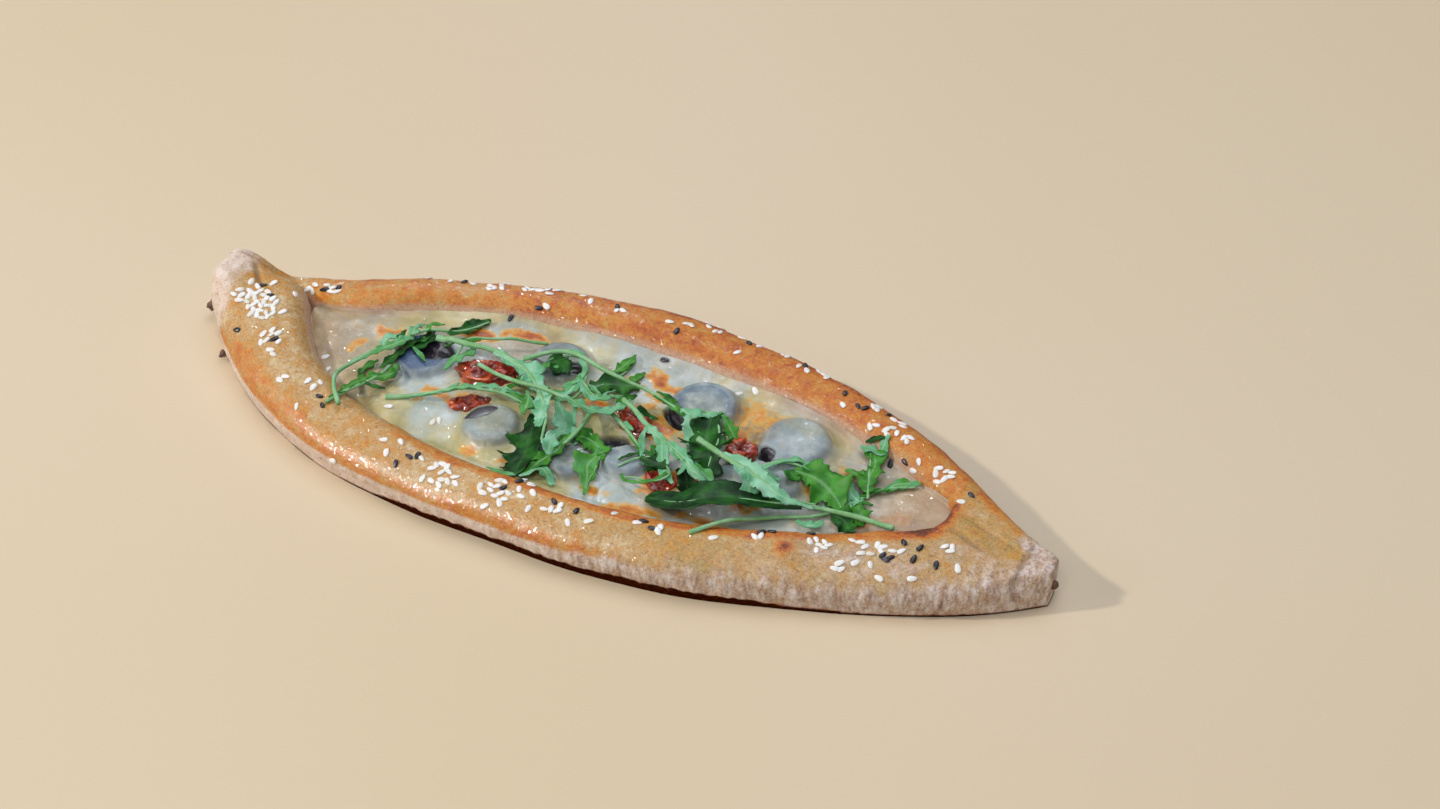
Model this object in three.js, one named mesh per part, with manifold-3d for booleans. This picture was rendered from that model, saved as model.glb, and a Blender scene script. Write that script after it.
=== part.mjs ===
// A boat-shaped manakish: a flatbread whose edge is rolled up into a rim and pinched shut at
// both ends, filled with melted cheese, black olive slices and dried tomato, and strewn with
// rocket leaves. Millimetres, +Z up, the long axis along X, the turned-up end at -X.
import * as THREE from "three";
import { mergeVertices } from "three/addons/utils/BufferGeometryUtils.js";
import Module from "manifold-3d";

const wasm = await Module();
wasm.setup();

// ---------------------------------------------------------------- driving dimensions

const LEFT_TIP = -154;
const RIGHT_TIP = 150;
const HALF_WIDTH = 57.4;
const LEFT_TIP_HALF = 8; // half width left at each tip
const RIGHT_TIP_HALF = 4.5;
const AXIS_MIDDLE = 4.4; // the tips are not in line with the middle of the loaf
const AXIS_LEFT = 7.6;
const AXIS_RIGHT = -1;
const LEFT_BEND_START = 112;
const RIGHT_BEND_START = 78;

// Each side of the rim: how full its outline is towards the tips, and how high its crest stands.
const NEAR = { sign: -1, fullLeft: 3.0, fullRight: 2.2, crest: 16.2, leftCrest: 22, phase: 0.4 };
const FAR = { sign: 1, fullLeft: 1.83, fullRight: 1.81, crest: 16.6, leftCrest: 13, phase: 2.1 };
const RIGHT_CREST = 16; // both sides come to this at the blunt right end
const KNOB_CREST = 26; // and to this in the knob at the left one
const KNOB_START = 134;
const CREST_START = 84; // the crest keeps its height up to here on both sides of the middle
const CREST_END = 140;
const CREST_SHARE = 0.42; // where the crest stands between a rim's inner and outer edge
const BULGE_HEIGHT = 7; // height of the widest point of the outer wall
const UNDERCUT = 1.5; // how far the wall draws in again down to the underside
const UNDERCUT_LIMIT = 0.55; // but no more than this share of the outer half of the rim
const BEND_HEIGHT = 0.3; // the wall bends inwards at this share of the bulge's height
const BEND_DEPTH = 0.65; // and has done this share of its way in there
const ROUNDNESS = 2.4; // exponent of the superellipse that gives the rim its section
const TIP_ROUNDING = 6; // length over which each blunt tip rounds off
const TIP_FACE = 0.62; // size of the blunt face against the full section
const WOBBLE = 0.6; // unevenness of the hand-rolled rim
const LONG_WAVE = 16; // it comes and goes over these lengths
const SHORT_WAVE = 7;

const OPENING_LEFT = -122;
const OPENING_RIGHT = 118;
const OPENING_HALF = 36;
const OPENING_FULL_LEFT = 2.9; // how full the opening is towards its ends
const OPENING_FULL_RIGHT = 2.1;
const OPENING_MIDDLE = 3.5;
const OPENING_TURN = 0; // from here the opening turns to the far side, where it ends
const OPENING_TURN_END = 110;
const OPENING_END_MIDDLE = 7.5;
const FLAP_START = 98; // from here to the left tip the near side folds over the far one
const FLAP_LENGTH = 36;
const FLAP_REACH = 24;
const FLAP_LIMIT = 17;
const FAR_LEDGE = 3; // what still shows of the far side beyond the fold
const SEAM_HALF = 0.7; // half width of the pressed seam beyond the opening
const SEAM_DEPTH = 2.2; // of the seam at the left end
const CREASE_DEPTH = 1; // of the one at the right end
const FOLD_DEPTH = 5.5; // how far the fold drops to its seam
const SEAM_RISE = 4; // the floor starts to climb this far before the opening's end
const SEAM_RUN = 10; // and is up at the seam this far beyond it
const END_RISE = 10; // at the right the floor starts to climb earlier, this far before the end
const END_TOP = 4; // and is up this far before it
const SEAM_FADE = 15; // length over which the seam fades out at the right end
const SEAM_END = 134;
const SEAM_TRACE = 0.3; // what is left of the seam beyond it
const FLOOR = 4.5; // thickness of the base under the filling

const CHEESE_TOP = 10.4;
const CHEESE_CROWN = 1.2;
const CHEESE_FLOW = 0.35; // unevenness of its surface
const CHEESE_LEFT_GAP = 4; // it stops this far short of the opening's two ends
const CHEESE_RIGHT_GAP = 6;
const CHEESE_LEAST = 1; // its thickness where the floor climbs up to it
const CHEESE_STEPS = 8; // facets across it
const CHEESE_GAP = 0.4;
const POCKET_GAP = 0.35; // clearance round what is sunk in the cheese

const OLIVE_THICKNESS = 5.6;
const OLIVE_SUNK = 3.2;
const OLIVE_HOLE = 3.2;
const OLIVE_HOLE_DEPTH = 3;
const OLIVE_ROUNDING = 2.4;
const OLIVE_SIDES = 13;
const TOMATO_SUNK = 1.6;
const TOMATO_FOLD = 0.12; // depth of its folds as a share of its size

const STEM_HALF = 1.1;
const LEAF_STEP = 3.6; // distance between a leaf's cross-sections
const LEAF_THICKNESS = 0.8;
const LEAF_GAP = 0.4; // clearance between a leaf and what it lies on
const SETTLE_ROUNDS = 200;
const LEAF_SAG = 0.13; // how readily a leaf droops between the points that carry it

// ---------------------------------------------------------------- what lies on the cheese

// Olive slices: centre and radius.
const OLIVES = [
  { x: -74, y: 6, r: 10.5 },
  { x: -31, y: 22, r: 10 },
  { x: 22, y: 22, r: 11.5 },
  { x: 56, y: 18, r: 11.5 },
  { x: -37, y: -15, r: 9.5 },
  { x: -6, y: -19, r: 7.6 },
  { x: 10, y: -12, r: 7.3 },
  { x: 43, y: -7, r: 7 },
  { x: 60, y: -2, r: 6.5 },
];

// Dried tomato pieces: centre, half length, half width, height and turn in degrees.
const TOMATOES = [
  { x: -50, y: 6, long: 11, wide: 5.5, high: 6.5, turn: 18 },
  { x: -49, y: -8, long: 7, wide: 3.4, high: 3.6, turn: 34 },
  { x: 5, y: 5, long: 7.5, wide: 4.6, high: 5.5, turn: -25 },
  { x: 42, y: 6, long: 5.5, wide: 4.6, high: 8.5, turn: 60 },
  { x: 24, y: -16, long: 5.5, wide: 4, high: 4, turn: -15 },
];

// Rocket leaves from the lowest to the highest. A path runs from the cut end of the stem to the
// tip; blade is where the blade starts along it; left and right are its half widths; lobes is
// their number and depth how deeply they are cut; roll tips the blade and arch lifts its middle.
const LEAVES = [
  { path: [[-75, -17], [-59, -10], [-43, -5], [-33, -4], [-27, -5]],
    blade: 0.5, left: 3.5, right: 4.5, lobes: 2, depth: 0.6, roll: 0, arch: 0 },
  { path: [[-17, 13], [-12, 19], [-9, 28], [-10, 35]],
    blade: 0.05, left: 4.5, right: 9, lobes: 2, depth: 0.35, roll: 0, arch: 0 },
  { path: [[-15, -7], [-7, -6], [1, -12], [4, -21], [4, -30]],
    blade: 0.1, left: 4.5, right: 5.5, lobes: 2, depth: 0.4, roll: 0, arch: 1 },
  { path: [[-10, 5], [-8, -5], [-9, -16], [-13, -25], [-20, -32]],
    blade: 0.2, left: 3.5, right: 13, lobes: 2, depth: 0.25, roll: -8, arch: 1 },
  { path: [[-34, 12], [-32, 18], [-24, 22], [-18, 16], [-17, 7], [-22, 3]],
    blade: 0.05, left: 3.6, right: 3.6, lobes: 4, depth: 0.4, roll: 45, arch: 0 },
  { path: [[-17, 11], [-11, 7], [-6, 8], [-3, 13]],
    blade: 0.15, left: 2.8, right: 2.8, lobes: 3, depth: 0.6, roll: 15, arch: 0 },
  { path: [[-3, 3], [2, 0], [8, -4], [15, -9]],
    blade: 0.3, left: 1.8, right: 2, lobes: 2, depth: 0.6, roll: 0, arch: 0 },
  { path: [[-88, -32], [-83, -19], [-80, -8], [-80, 2], [-76, 13]],
    blade: 0.2, left: 4.5, right: 4, lobes: 4, depth: 0.8, roll: 10, arch: 0 },
  { path: [[-83, -32], [-89, -25], [-92, -17], [-88, -6], [-82, 5], [-77, 13], [-68, 19], [-62, 30]],
    blade: 0.45, left: 4, right: 3.5, lobes: 5, depth: 0.75, roll: 0, arch: 2 },
  { path: [[-38, 27], [-52, 19], [-61, 15], [-61, 9], [-60, 0]],
    blade: 0.6, left: 3.5, right: 3.5, lobes: 2, depth: 0.6, roll: 0, arch: 0 },
  { path: [[-71, 11], [-59, 11], [-48, 12], [-36, 8], [-27, 0], [-19, -10], [-15, -21]],
    blade: 0.55, left: 5, right: 6.5, lobes: 3, depth: 0.75, roll: 12, arch: 1 },
  { path: [[-52, 5], [-38, 1], [-26, -1], [-11, -3], [-2, 0], [1, 10]],
    blade: 0.6, left: 3.6, right: 3, lobes: 3, depth: 0.65, roll: 10, arch: 0 },
  { path: [[10, -17], [14, -12], [21, -10], [27, -15], [23, -20], [13, -20]],
    blade: 0.1, left: 1.8, right: 1.4, lobes: 3, depth: 0.5, roll: 30, arch: 0 },
  { path: [[-39, 12], [-27, 20], [-9, 16], [5, 16], [17, 13], [28, 14], [35, 5], [37, -9]],
    blade: 0.6, left: 7, right: 11, lobes: 3, depth: 0.5, roll: 0, arch: 1 },
  { path: [[0, 7], [6, 4], [16, -2], [26, -8], [35, -13], [41, -14]],
    blade: 0.3, left: 4.2, right: 4.2, lobes: 5, depth: 0.75, roll: 0, arch: 0 },
  { path: [[44, -36], [53, -25], [64, -15], [74, -10], [81, -3], [89, 10], [98, 16]],
    blade: 0.45, left: 4.5, right: 5, lobes: 4, depth: 0.65, roll: 0, arch: 0 },
  { path: [[87, 3], [84, 11], [81, 20], [78, 28]],
    blade: 0.1, left: 4.2, right: 3.6, lobes: 2, depth: 0.5, roll: 10, arch: 0 },
  { path: [[49, 3], [55, 6], [63, 7], [73, 4], [82, 0]],
    blade: 0.3, left: 3.5, right: 8.5, lobes: 3, depth: 0.35, roll: 0, arch: 0 },
  { path: [[99, -5], [85, -6], [72, -8], [61, -13], [50, -19], [38, -24], [23, -24]],
    blade: 0.35, left: 5.5, right: 6.5, lobes: 1, depth: 0, roll: -8, arch: 0 },
  { path: [[30, 0], [38, -3], [48, -7], [58, -10], [66, -11], [74, -8]],
    blade: 0.35, left: 4, right: 5.5, lobes: 3, depth: 0.65, roll: 5, arch: 1 },
];

// ---------------------------------------------------------------- small helpers

const clamp = THREE.MathUtils.clamp;
const lerp = THREE.MathUtils.lerp;
const smooth = THREE.MathUtils.smoothstep; // (x, from, to)
const radians = THREE.MathUtils.degToRad;

function material(color, roughness) {
  return new THREE.MeshStandardMaterial({ color, roughness, metalness: 0 });
}

// Skins a row of rings, all with the same number of points, and closes both ends with a fan.
function loft(rings) {
  const count = rings[0].length;
  const points = rings.flat();
  const faces = [];
  for (let i = 0; i + 1 < rings.length; i++) {
    for (let j = 0; j < count; j++) {
      const a = i * count + j;
      const b = i * count + ((j + 1) % count);
      faces.push(a, a + count, b, b, a + count, b + count);
    }
  }
  for (const [ring, start, turned] of [
    [rings[0], 0, true],
    [rings.at(-1), (rings.length - 1) * count, false],
  ]) {
    const middle = ring.reduce((sum, p) => sum.add(p), new THREE.Vector3()).divideScalar(count);
    const centre = points.push(middle) - 1;
    for (let j = 0; j < count; j++) {
      const a = start + j;
      const b = start + ((j + 1) % count);
      faces.push(...(turned ? [centre, a, b] : [centre, b, a]));
    }
  }
  const geometry = new THREE.BufferGeometry().setFromPoints(points);
  geometry.setIndex(faces);
  geometry.computeVertexNormals();
  return geometry;
}

function solidOf(geometry) {
  const bare = new THREE.BufferGeometry().setAttribute("position", geometry.getAttribute("position"));
  bare.setIndex(geometry.index);
  const merged = mergeVertices(bare, 1e-3);
  return new wasm.Manifold(
    new wasm.Mesh({
      numProp: 3,
      vertProperties: merged.attributes.position.array,
      triVerts: new Uint32Array(merged.index.array),
    }),
  );
}

function geometryFrom(solid) {
  const mesh = solid.getMesh();
  const geometry = new THREE.BufferGeometry();
  geometry.setAttribute("position", new THREE.BufferAttribute(mesh.vertProperties, 3));
  geometry.setIndex(new THREE.BufferAttribute(mesh.triVerts, 1));
  geometry.computeVertexNormals();
  return geometry;
}

// ---------------------------------------------------------------- the dough's outline

const tipwards = (x, left, right) => clamp(x < 0 ? x / left : x / right, 0, 1);
const wobble = (x, phase) =>
  WOBBLE * (Math.sin(x / LONG_WAVE + phase) + 0.6 * Math.sin(x / SHORT_WAVE + 3 * phase));

function axis(x) {
  const left = smooth(-x, LEFT_BEND_START, -LEFT_TIP);
  const right = smooth(x, RIGHT_BEND_START, RIGHT_TIP);
  return lerp(lerp(AXIS_MIDDLE, AXIS_LEFT, left), AXIS_RIGHT, right);
}

function outerEdge(side, x) {
  const full = x < 0 ? side.fullLeft : side.fullRight;
  const tip = x < 0 ? LEFT_TIP_HALF : RIGHT_TIP_HALF;
  const half = lerp(tip, HALF_WIDTH, 1 - tipwards(x, LEFT_TIP, RIGHT_TIP) ** full);
  return axis(x) + side.sign * (half + 0.5 * wobble(x, side.phase));
}

function openingHalf(x) {
  const full = x < 0 ? OPENING_FULL_LEFT : OPENING_FULL_RIGHT;
  return Math.max(SEAM_HALF, OPENING_HALF * (1 - tipwards(x, OPENING_LEFT, OPENING_RIGHT) ** full));
}

function openingMiddle(x) {
  const folded = Math.max(0, -x - FLAP_START) / FLAP_LENGTH;
  const left = Math.min(FLAP_LIMIT, OPENING_MIDDLE + FLAP_REACH * folded ** 2);
  const turned = lerp(left, OPENING_END_MIDDLE, smooth(x, OPENING_TURN, OPENING_TURN_END));
  const middle = lerp(turned, AXIS_RIGHT, smooth(x, OPENING_RIGHT - 5, OPENING_RIGHT + 27));
  return Math.min(middle, outerEdge(FAR, x) - FAR_LEDGE - SEAM_HALF);
}

const innerEdge = (side, x) => openingMiddle(x) + side.sign * openingHalf(x);

const knob = (x) => smooth(-x, KNOB_START, -LEFT_TIP - 2);

function crestHeight(side, x) {
  const rising = lerp(side.crest, side.leftCrest, smooth(-x, CREST_START, KNOB_START));
  const height = lerp(lerp(rising, KNOB_CREST, knob(x)), RIGHT_CREST, smooth(x, CREST_START, CREST_END));
  return height + 0.5 * wobble(x, side.phase + 1);
}

// Height at the foot of a rim's inner wall: the floor, or the seam where the rim is shut.
function innerHeight(side, x) {
  const left = side === NEAR ? FOLD_DEPTH : SEAM_DEPTH;
  const depth = x < 0 ? left : CREASE_DEPTH;
  const climb = x < 0 ? smooth(OPENING_LEFT - x, -SEAM_RISE, SEAM_RUN) : smooth(x - OPENING_RIGHT, -END_RISE, -END_TOP);
  const pressed = lerp(depth, SEAM_TRACE, Math.max(knob(x), smooth(x, SEAM_END - SEAM_FADE, SEAM_END)));
  return lerp(FLOOR, crestHeight(side, x) - pressed, climb);
}

// One quarter of a rim's section: 1 at the foot of the quarter, 0 at the crest.
const rimCurve = (u) => (1 - Math.min(1, Math.abs(u)) ** ROUNDNESS) ** (1 / ROUNDNESS);

const crestPlace = (side, x) => lerp(innerEdge(side, x), outerEdge(side, x), CREST_SHARE);

// Height of the dough's upper surface anywhere inside its outline.
function doughTop(x, y) {
  const side = y < openingMiddle(x) ? NEAR : FAR;
  const inner = innerEdge(side, x);
  const crest = crestPlace(side, x);
  const outward = side.sign * (y - crest);
  if (side.sign * (y - inner) <= 0) return innerHeight(side, x);
  const foot = outward < 0 ? innerHeight(side, x) : BULGE_HEIGHT;
  const reach = outward < 0 ? crest - inner : outerEdge(side, x) - crest;
  return foot + (crestHeight(side, x) - foot) * rimCurve(outward / Math.abs(reach));
}

// ---------------------------------------------------------------- the dough as a solid

const RIM_STEPS = [1, 0.97, 0.86, 0.66, 0.36, 0];

// The section at x, from the near side's foot over both rims to the far side's foot.
function doughRing(x) {
  const ring = [];
  for (const side of [NEAR, FAR]) {
    const inner = innerEdge(side, x);
    const outer = outerEdge(side, x);
    const crest = crestPlace(side, x);
    const top = crestHeight(side, x);
    const half = [];
    const rounded = Math.min(UNDERCUT, UNDERCUT_LIMIT * Math.abs(outer - crest));
    half.push([outer - side.sign * rounded, 0]);
    half.push([outer - side.sign * BEND_DEPTH * rounded, BEND_HEIGHT * BULGE_HEIGHT]);
    for (const u of RIM_STEPS) half.push([lerp(crest, outer, u), lerp(BULGE_HEIGHT, top, rimCurve(u))]);
    for (const u of RIM_STEPS.slice(0, -1).reverse()) {
      half.push([lerp(crest, inner, u), lerp(innerHeight(side, x), top, rimCurve(u))]);
    }
    if (side === FAR) half.reverse();
    ring.push(...half);
  }
  return ring;
}

// Draws a section in towards its middle near a tip, so that the blunt end is rounded.
function roundedRing(x) {
  const ring = doughRing(x);
  const left = Math.min(x - LEFT_TIP, RIGHT_TIP - x);
  const missing = 1 - clamp(left / TIP_ROUNDING, 0, 1);
  const size = lerp(TIP_FACE, 1, Math.sqrt(1 - missing ** 2));
  const middle = (outerEdge(NEAR, x) + outerEdge(FAR, x)) / 2;
  const height = crestHeight(NEAR, x) / 2;
  return ring.map(([y, z]) => new THREE.Vector3(x, lerp(middle, y, size), lerp(height, z, size)));
}

function stations() {
  const places = [];
  for (let x = LEFT_TIP; x < -100; x += x < LEFT_TIP + 8 ? 2 : 4.5) places.push(x);
  for (let x = -97; x < 94; x += 8) places.push(x);
  for (let x = 96; x < RIGHT_TIP - 8; x += 5) places.push(x);
  for (const back of [6, 3.5, 1.5, 0]) places.push(RIGHT_TIP - back);
  return places;
}

// ---------------------------------------------------------------- the filling

function cheeseTop(x, y) {
  const half = openingHalf(x);
  const across = clamp((y - openingMiddle(x)) / half, -1, 1);
  const flow = CHEESE_FLOW * (Math.sin(x / 9 + y / 13) + Math.sin(y / 6 - x / 17));
  return CHEESE_TOP + CHEESE_CROWN * (1 - across ** 2) + flow;
}

function cheeseRing(x) {
  const near = innerEdge(NEAR, x) + CHEESE_GAP;
  const far = innerEdge(FAR, x) - CHEESE_GAP;
  const bottom = Math.max(innerHeight(NEAR, x), innerHeight(FAR, x)) + CHEESE_GAP;
  const ring = [new THREE.Vector3(x, near, bottom)];
  for (let i = 0; i <= CHEESE_STEPS; i++) {
    const y = lerp(near, far, i / CHEESE_STEPS);
    ring.push(new THREE.Vector3(x, y, Math.max(bottom + CHEESE_LEAST, cheeseTop(x, y))));
  }
  ring.push(new THREE.Vector3(x, far, bottom));
  return ring;
}

// A pitted slice with a rounded upper edge; grow makes the pocket it lies in.
function oliveGeometry(olive, grow = 0) {
  const r = olive.r + grow;
  const top = OLIVE_THICKNESS + grow;
  const hole = grow ? 0 : OLIVE_HOLE;
  const profile = [
    [0, -grow],
    [r - OLIVE_ROUNDING / 3, -grow],
    [r, 0.5 * top],
    [r - OLIVE_ROUNDING, top],
    ...(hole ? [[hole, top], [0.7 * hole, top - OLIVE_HOLE_DEPTH]] : []),
    [0, hole ? top - OLIVE_HOLE_DEPTH : top],
  ].map(([x, y]) => new THREE.Vector2(x, y));
  const slice = new THREE.LatheGeometry(profile, OLIVE_SIDES);
  slice.rotateX(Math.PI / 2);
  slice.translate(olive.x, olive.y, cheeseTop(olive.x, olive.y) - OLIVE_SUNK);
  return slice;
}

// A shrivelled piece: a flattened ball whose surface is drawn into folds.
function tomatoGeometry(piece, grow = 0) {
  const ball = new THREE.SphereGeometry(1, 12, 7).deleteAttribute("normal").deleteAttribute("uv");
  const place = ball.getAttribute("position");
  const v = new THREE.Vector3();
  for (let i = 0; i < place.count; i++) {
    v.fromBufferAttribute(place, i);
    const round = Math.atan2(v.z, v.x);
    const lengthwise = TOMATO_FOLD * Math.sin(3 * round + piece.x) * (1 - v.y ** 2);
    const layered = (2 / 3) * TOMATO_FOLD * Math.sin(5 * v.y + piece.turn);
    const fold = 1 + lengthwise + layered;
    v.set(v.x * fold * piece.long, v.z * fold * piece.wide, (-v.y * piece.high) / 2);
    v.addScaledVector(v.clone().normalize(), grow);
    place.setXYZ(i, v.x, v.y, v.z);
  }
  ball.rotateZ(radians(piece.turn));
  const seat = cheeseTop(piece.x, piece.y) + piece.high / 2 - TOMATO_SUNK;
  return ball.translate(piece.x, piece.y, seat);
}

function cheeseGeometry(places) {
  const filled = (x) => x > OPENING_LEFT + CHEESE_LEFT_GAP && x < OPENING_RIGHT - CHEESE_RIGHT_GAP;
  let slab = solidOf(loft(places.filter(filled).map(cheeseRing)));
  for (const olive of OLIVES) slab = slab.subtract(solidOf(oliveGeometry(olive, POCKET_GAP)));
  for (const piece of TOMATOES) slab = slab.subtract(solidOf(tomatoGeometry(piece, POCKET_GAP)));
  return geometryFrom(slab);
}

// ---------------------------------------------------------------- the leaves

// The height of everything laid down so far, on a square grid.
const GRID = 1;
const COLUMNS = Math.ceil((RIGHT_TIP - LEFT_TIP) / GRID) + 1;
const ROWS = Math.ceil((2 * HALF_WIDTH + 8) / GRID) + 1;
const FIRST_ROW = AXIS_MIDDLE - HALF_WIDTH - 4;
const ground = new Float32Array(COLUMNS * ROWS);

const column = (x) => clamp(Math.round((x - LEFT_TIP) / GRID), 0, COLUMNS - 1);
const row = (y) => clamp(Math.round((y - FIRST_ROW) / GRID), 0, ROWS - 1);
const groundAt = (x, y) => ground[row(y) * COLUMNS + column(x)];

function raise(x, y, height) {
  const cell = row(y) * COLUMNS + column(x);
  ground[cell] = Math.max(ground[cell], height);
}

function raiseDisc(x, y, radius, height) {
  for (let dx = -radius; dx <= radius; dx += GRID) {
    for (let dy = -radius; dy <= radius; dy += GRID) {
      if (Math.hypot(dx, dy) <= radius) raise(x + dx, y + dy, height);
    }
  }
}

function surveyGround() {
  for (let x = LEFT_TIP; x <= RIGHT_TIP; x += GRID) {
    for (let y = outerEdge(NEAR, x); y <= outerEdge(FAR, x); y += GRID) {
      const filled = y > innerEdge(NEAR, x) && y < innerEdge(FAR, x);
      raise(x, y, Math.max(doughTop(x, y), filled ? cheeseTop(x, y) : 0));
    }
  }
  for (const { x, y, r } of OLIVES) {
    raiseDisc(x, y, r, cheeseTop(x, y) - OLIVE_SUNK + OLIVE_THICKNESS);
  }
  for (const { x, y, long, high } of TOMATOES) {
    raiseDisc(x, y, 1.1 * long, cheeseTop(x, y) + high - TOMATO_SUNK);
  }
}

// Half width of a blade at b, from 0 at its base to 1 at its tip.
function bladeHalf(leaf, b, side) {
  const shape = Math.sin(Math.PI * clamp(b, 0, 1) ** 0.85) ** 0.7;
  const wave = 0.5 + 0.5 * Math.cos(2 * Math.PI * (leaf.lobes * b + (side === "left" ? 0 : 0.18)));
  return STEM_HALF * (1 - 0.6 * b) + leaf[side] * shape * (1 - leaf.depth * wave);
}

// The leaf's cross-sections: place, direction across, and half widths.
function leafSections(leaf) {
  const curve = new THREE.CatmullRomCurve3(leaf.path.map(([x, y]) => new THREE.Vector3(x, y, 0)));
  const count = clamp(Math.round(curve.getLength() / LEAF_STEP), 11, 22);
  const plan = curve.getSpacedPoints(count);
  return plan.map((place, i) => {
    const before = plan[Math.max(0, i - 1)];
    const after = plan[Math.min(count, i + 1)];
    const along = after.clone().sub(before).normalize();
    const b = (i / count - leaf.blade) / (1 - leaf.blade);
    const stem = STEM_HALF * (b > 0 ? 1 - 0.5 * b : 1);
    const rolled = radians(leaf.roll) * smooth(i / count, leaf.blade - 0.1, leaf.blade + 0.15);
    return {
      place,
      across: new THREE.Vector3(-along.y * Math.cos(rolled), along.x * Math.cos(rolled), Math.sin(rolled)),
      upward: new THREE.Vector3(along.y * Math.sin(rolled), -along.x * Math.sin(rolled), Math.cos(rolled)),
      left: b > 0 ? bladeHalf(leaf, b, "left") : stem,
      right: b > 0 ? bladeHalf(leaf, b, "right") : stem,
      lift: leaf.arch * Math.sin((Math.PI * i) / count),
    };
  });
}

// Points across a section, as signed distances from the midrib.
function acrossSteps({ left, right }) {
  const steps = Math.ceil((left + right) / GRID);
  return Array.from({ length: steps + 1 }, (_, i) => lerp(-right, left, i / steps));
}

// Lays a leaf over whatever is below it: a springy strip that touches the high points.
function settle(sections) {
  const samples = [];
  for (let i = 0; i + 1 < sections.length; i++) {
    for (const part of [0, 0.25, 0.5, 0.75, 1]) {
      const [a, b] = [sections[i], sections[i + 1]];
      const middle = { left: lerp(a.left, b.left, part), right: lerp(a.right, b.right, part) };
      const place = a.place.clone().lerp(b.place, part);
      const across = a.across.clone().lerp(b.across, part);
      for (const step of acrossSteps(middle)) {
        samples.push({ i: part < 0.5 ? i : i + 1, at: place.clone().addScaledVector(across, step) });
      }
    }
  }
  const need = sections.map(() => 0);
  for (const { i, at } of samples) {
    for (const j of [i - 1, i, i + 1]) {
      if (j < 0 || j >= need.length) continue;
      need[j] = Math.max(need[j], groundAt(at.x, at.y) - at.z + LEAF_THICKNESS / 2 + LEAF_GAP);
    }
  }
  const height = need.map((z, i) => z + sections[i].lift);
  for (let round = 0; round < SETTLE_ROUNDS; round++) {
    for (let i = 1; i + 1 < height.length; i++) {
      height[i] = Math.max(need[i] + sections[i].lift * 0.3, (height[i - 1] + height[i + 1]) / 2 - LEAF_SAG);
    }
  }
  sections.forEach((section, i) => section.place.setZ(height[i]));
  for (const { i, at } of samples) raiseDisc(at.x, at.y, 1.5 * GRID, at.z + height[i] + LEAF_THICKNESS / 2);
}

function leafGeometry(leaf) {
  const sections = leafSections(leaf);
  settle(sections);
  return loft(
    sections.map(({ place, across, upward, left, right }) => {
      const corner = (side, level) =>
        place.clone().addScaledVector(across, side).addScaledVector(upward, (level * LEAF_THICKNESS) / 2);
      return [corner(-right, -1), corner(-right, 1), corner(left, 1), corner(left, -1)];
    }),
  );
}

// ---------------------------------------------------------------- the object

const DOUGH = material(0xcf8f4a, 0.55);
const CHEESE = material(0xe3d6ae, 0.35);
const OLIVE = material(0x3d4150, 0.3);
const TOMATO = material(0x9c2c17, 0.35);
const LEAF = material(0x4f8f4a, 0.5);

const manakish = new THREE.Group();

function add(name, geometry, finish) {
  const mesh = new THREE.Mesh(geometry, finish);
  mesh.name = name;
  manakish.add(mesh);
}

const places = stations();
add("bread", loft(places.map(roundedRing)), DOUGH);
add("cheese", cheeseGeometry(places), CHEESE);
OLIVES.forEach((olive, i) => add(`olive_${i + 1}`, oliveGeometry(olive), OLIVE));
TOMATOES.forEach((piece, i) => add(`tomato_${i + 1}`, tomatoGeometry(piece), TOMATO));
surveyGround();
LEAVES.forEach((leaf, i) => add(`rocket_${i + 1}`, leafGeometry(leaf), LEAF));

// The frame's origin is the middle of the underside.
const box = new THREE.Box3().setFromObject(manakish);
const middle = box.getCenter(new THREE.Vector3());
manakish.position.set(-middle.x, -middle.y, -box.min.z);

export default manakish;
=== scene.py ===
# %% [markdown]
# # Dressing a manakish
# A manakish is a flatbread. This one is rolled up into a rim along both sides and pinched shut
# at both ends, so that it looks like a boat. In it lies melted cheese with olive slices and
# dried tomato, and rocket leaves are strewn over it. The rim carries white sesame and black
# seeds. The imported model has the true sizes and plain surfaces. This lesson gives every piece
# its fine shape and its finish, and leaves all sizes and places as they are.

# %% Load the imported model
import math
import random

import bpy
import numpy as np
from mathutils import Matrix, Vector, noise
from mathutils.bvhtree import BVHTree


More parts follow.
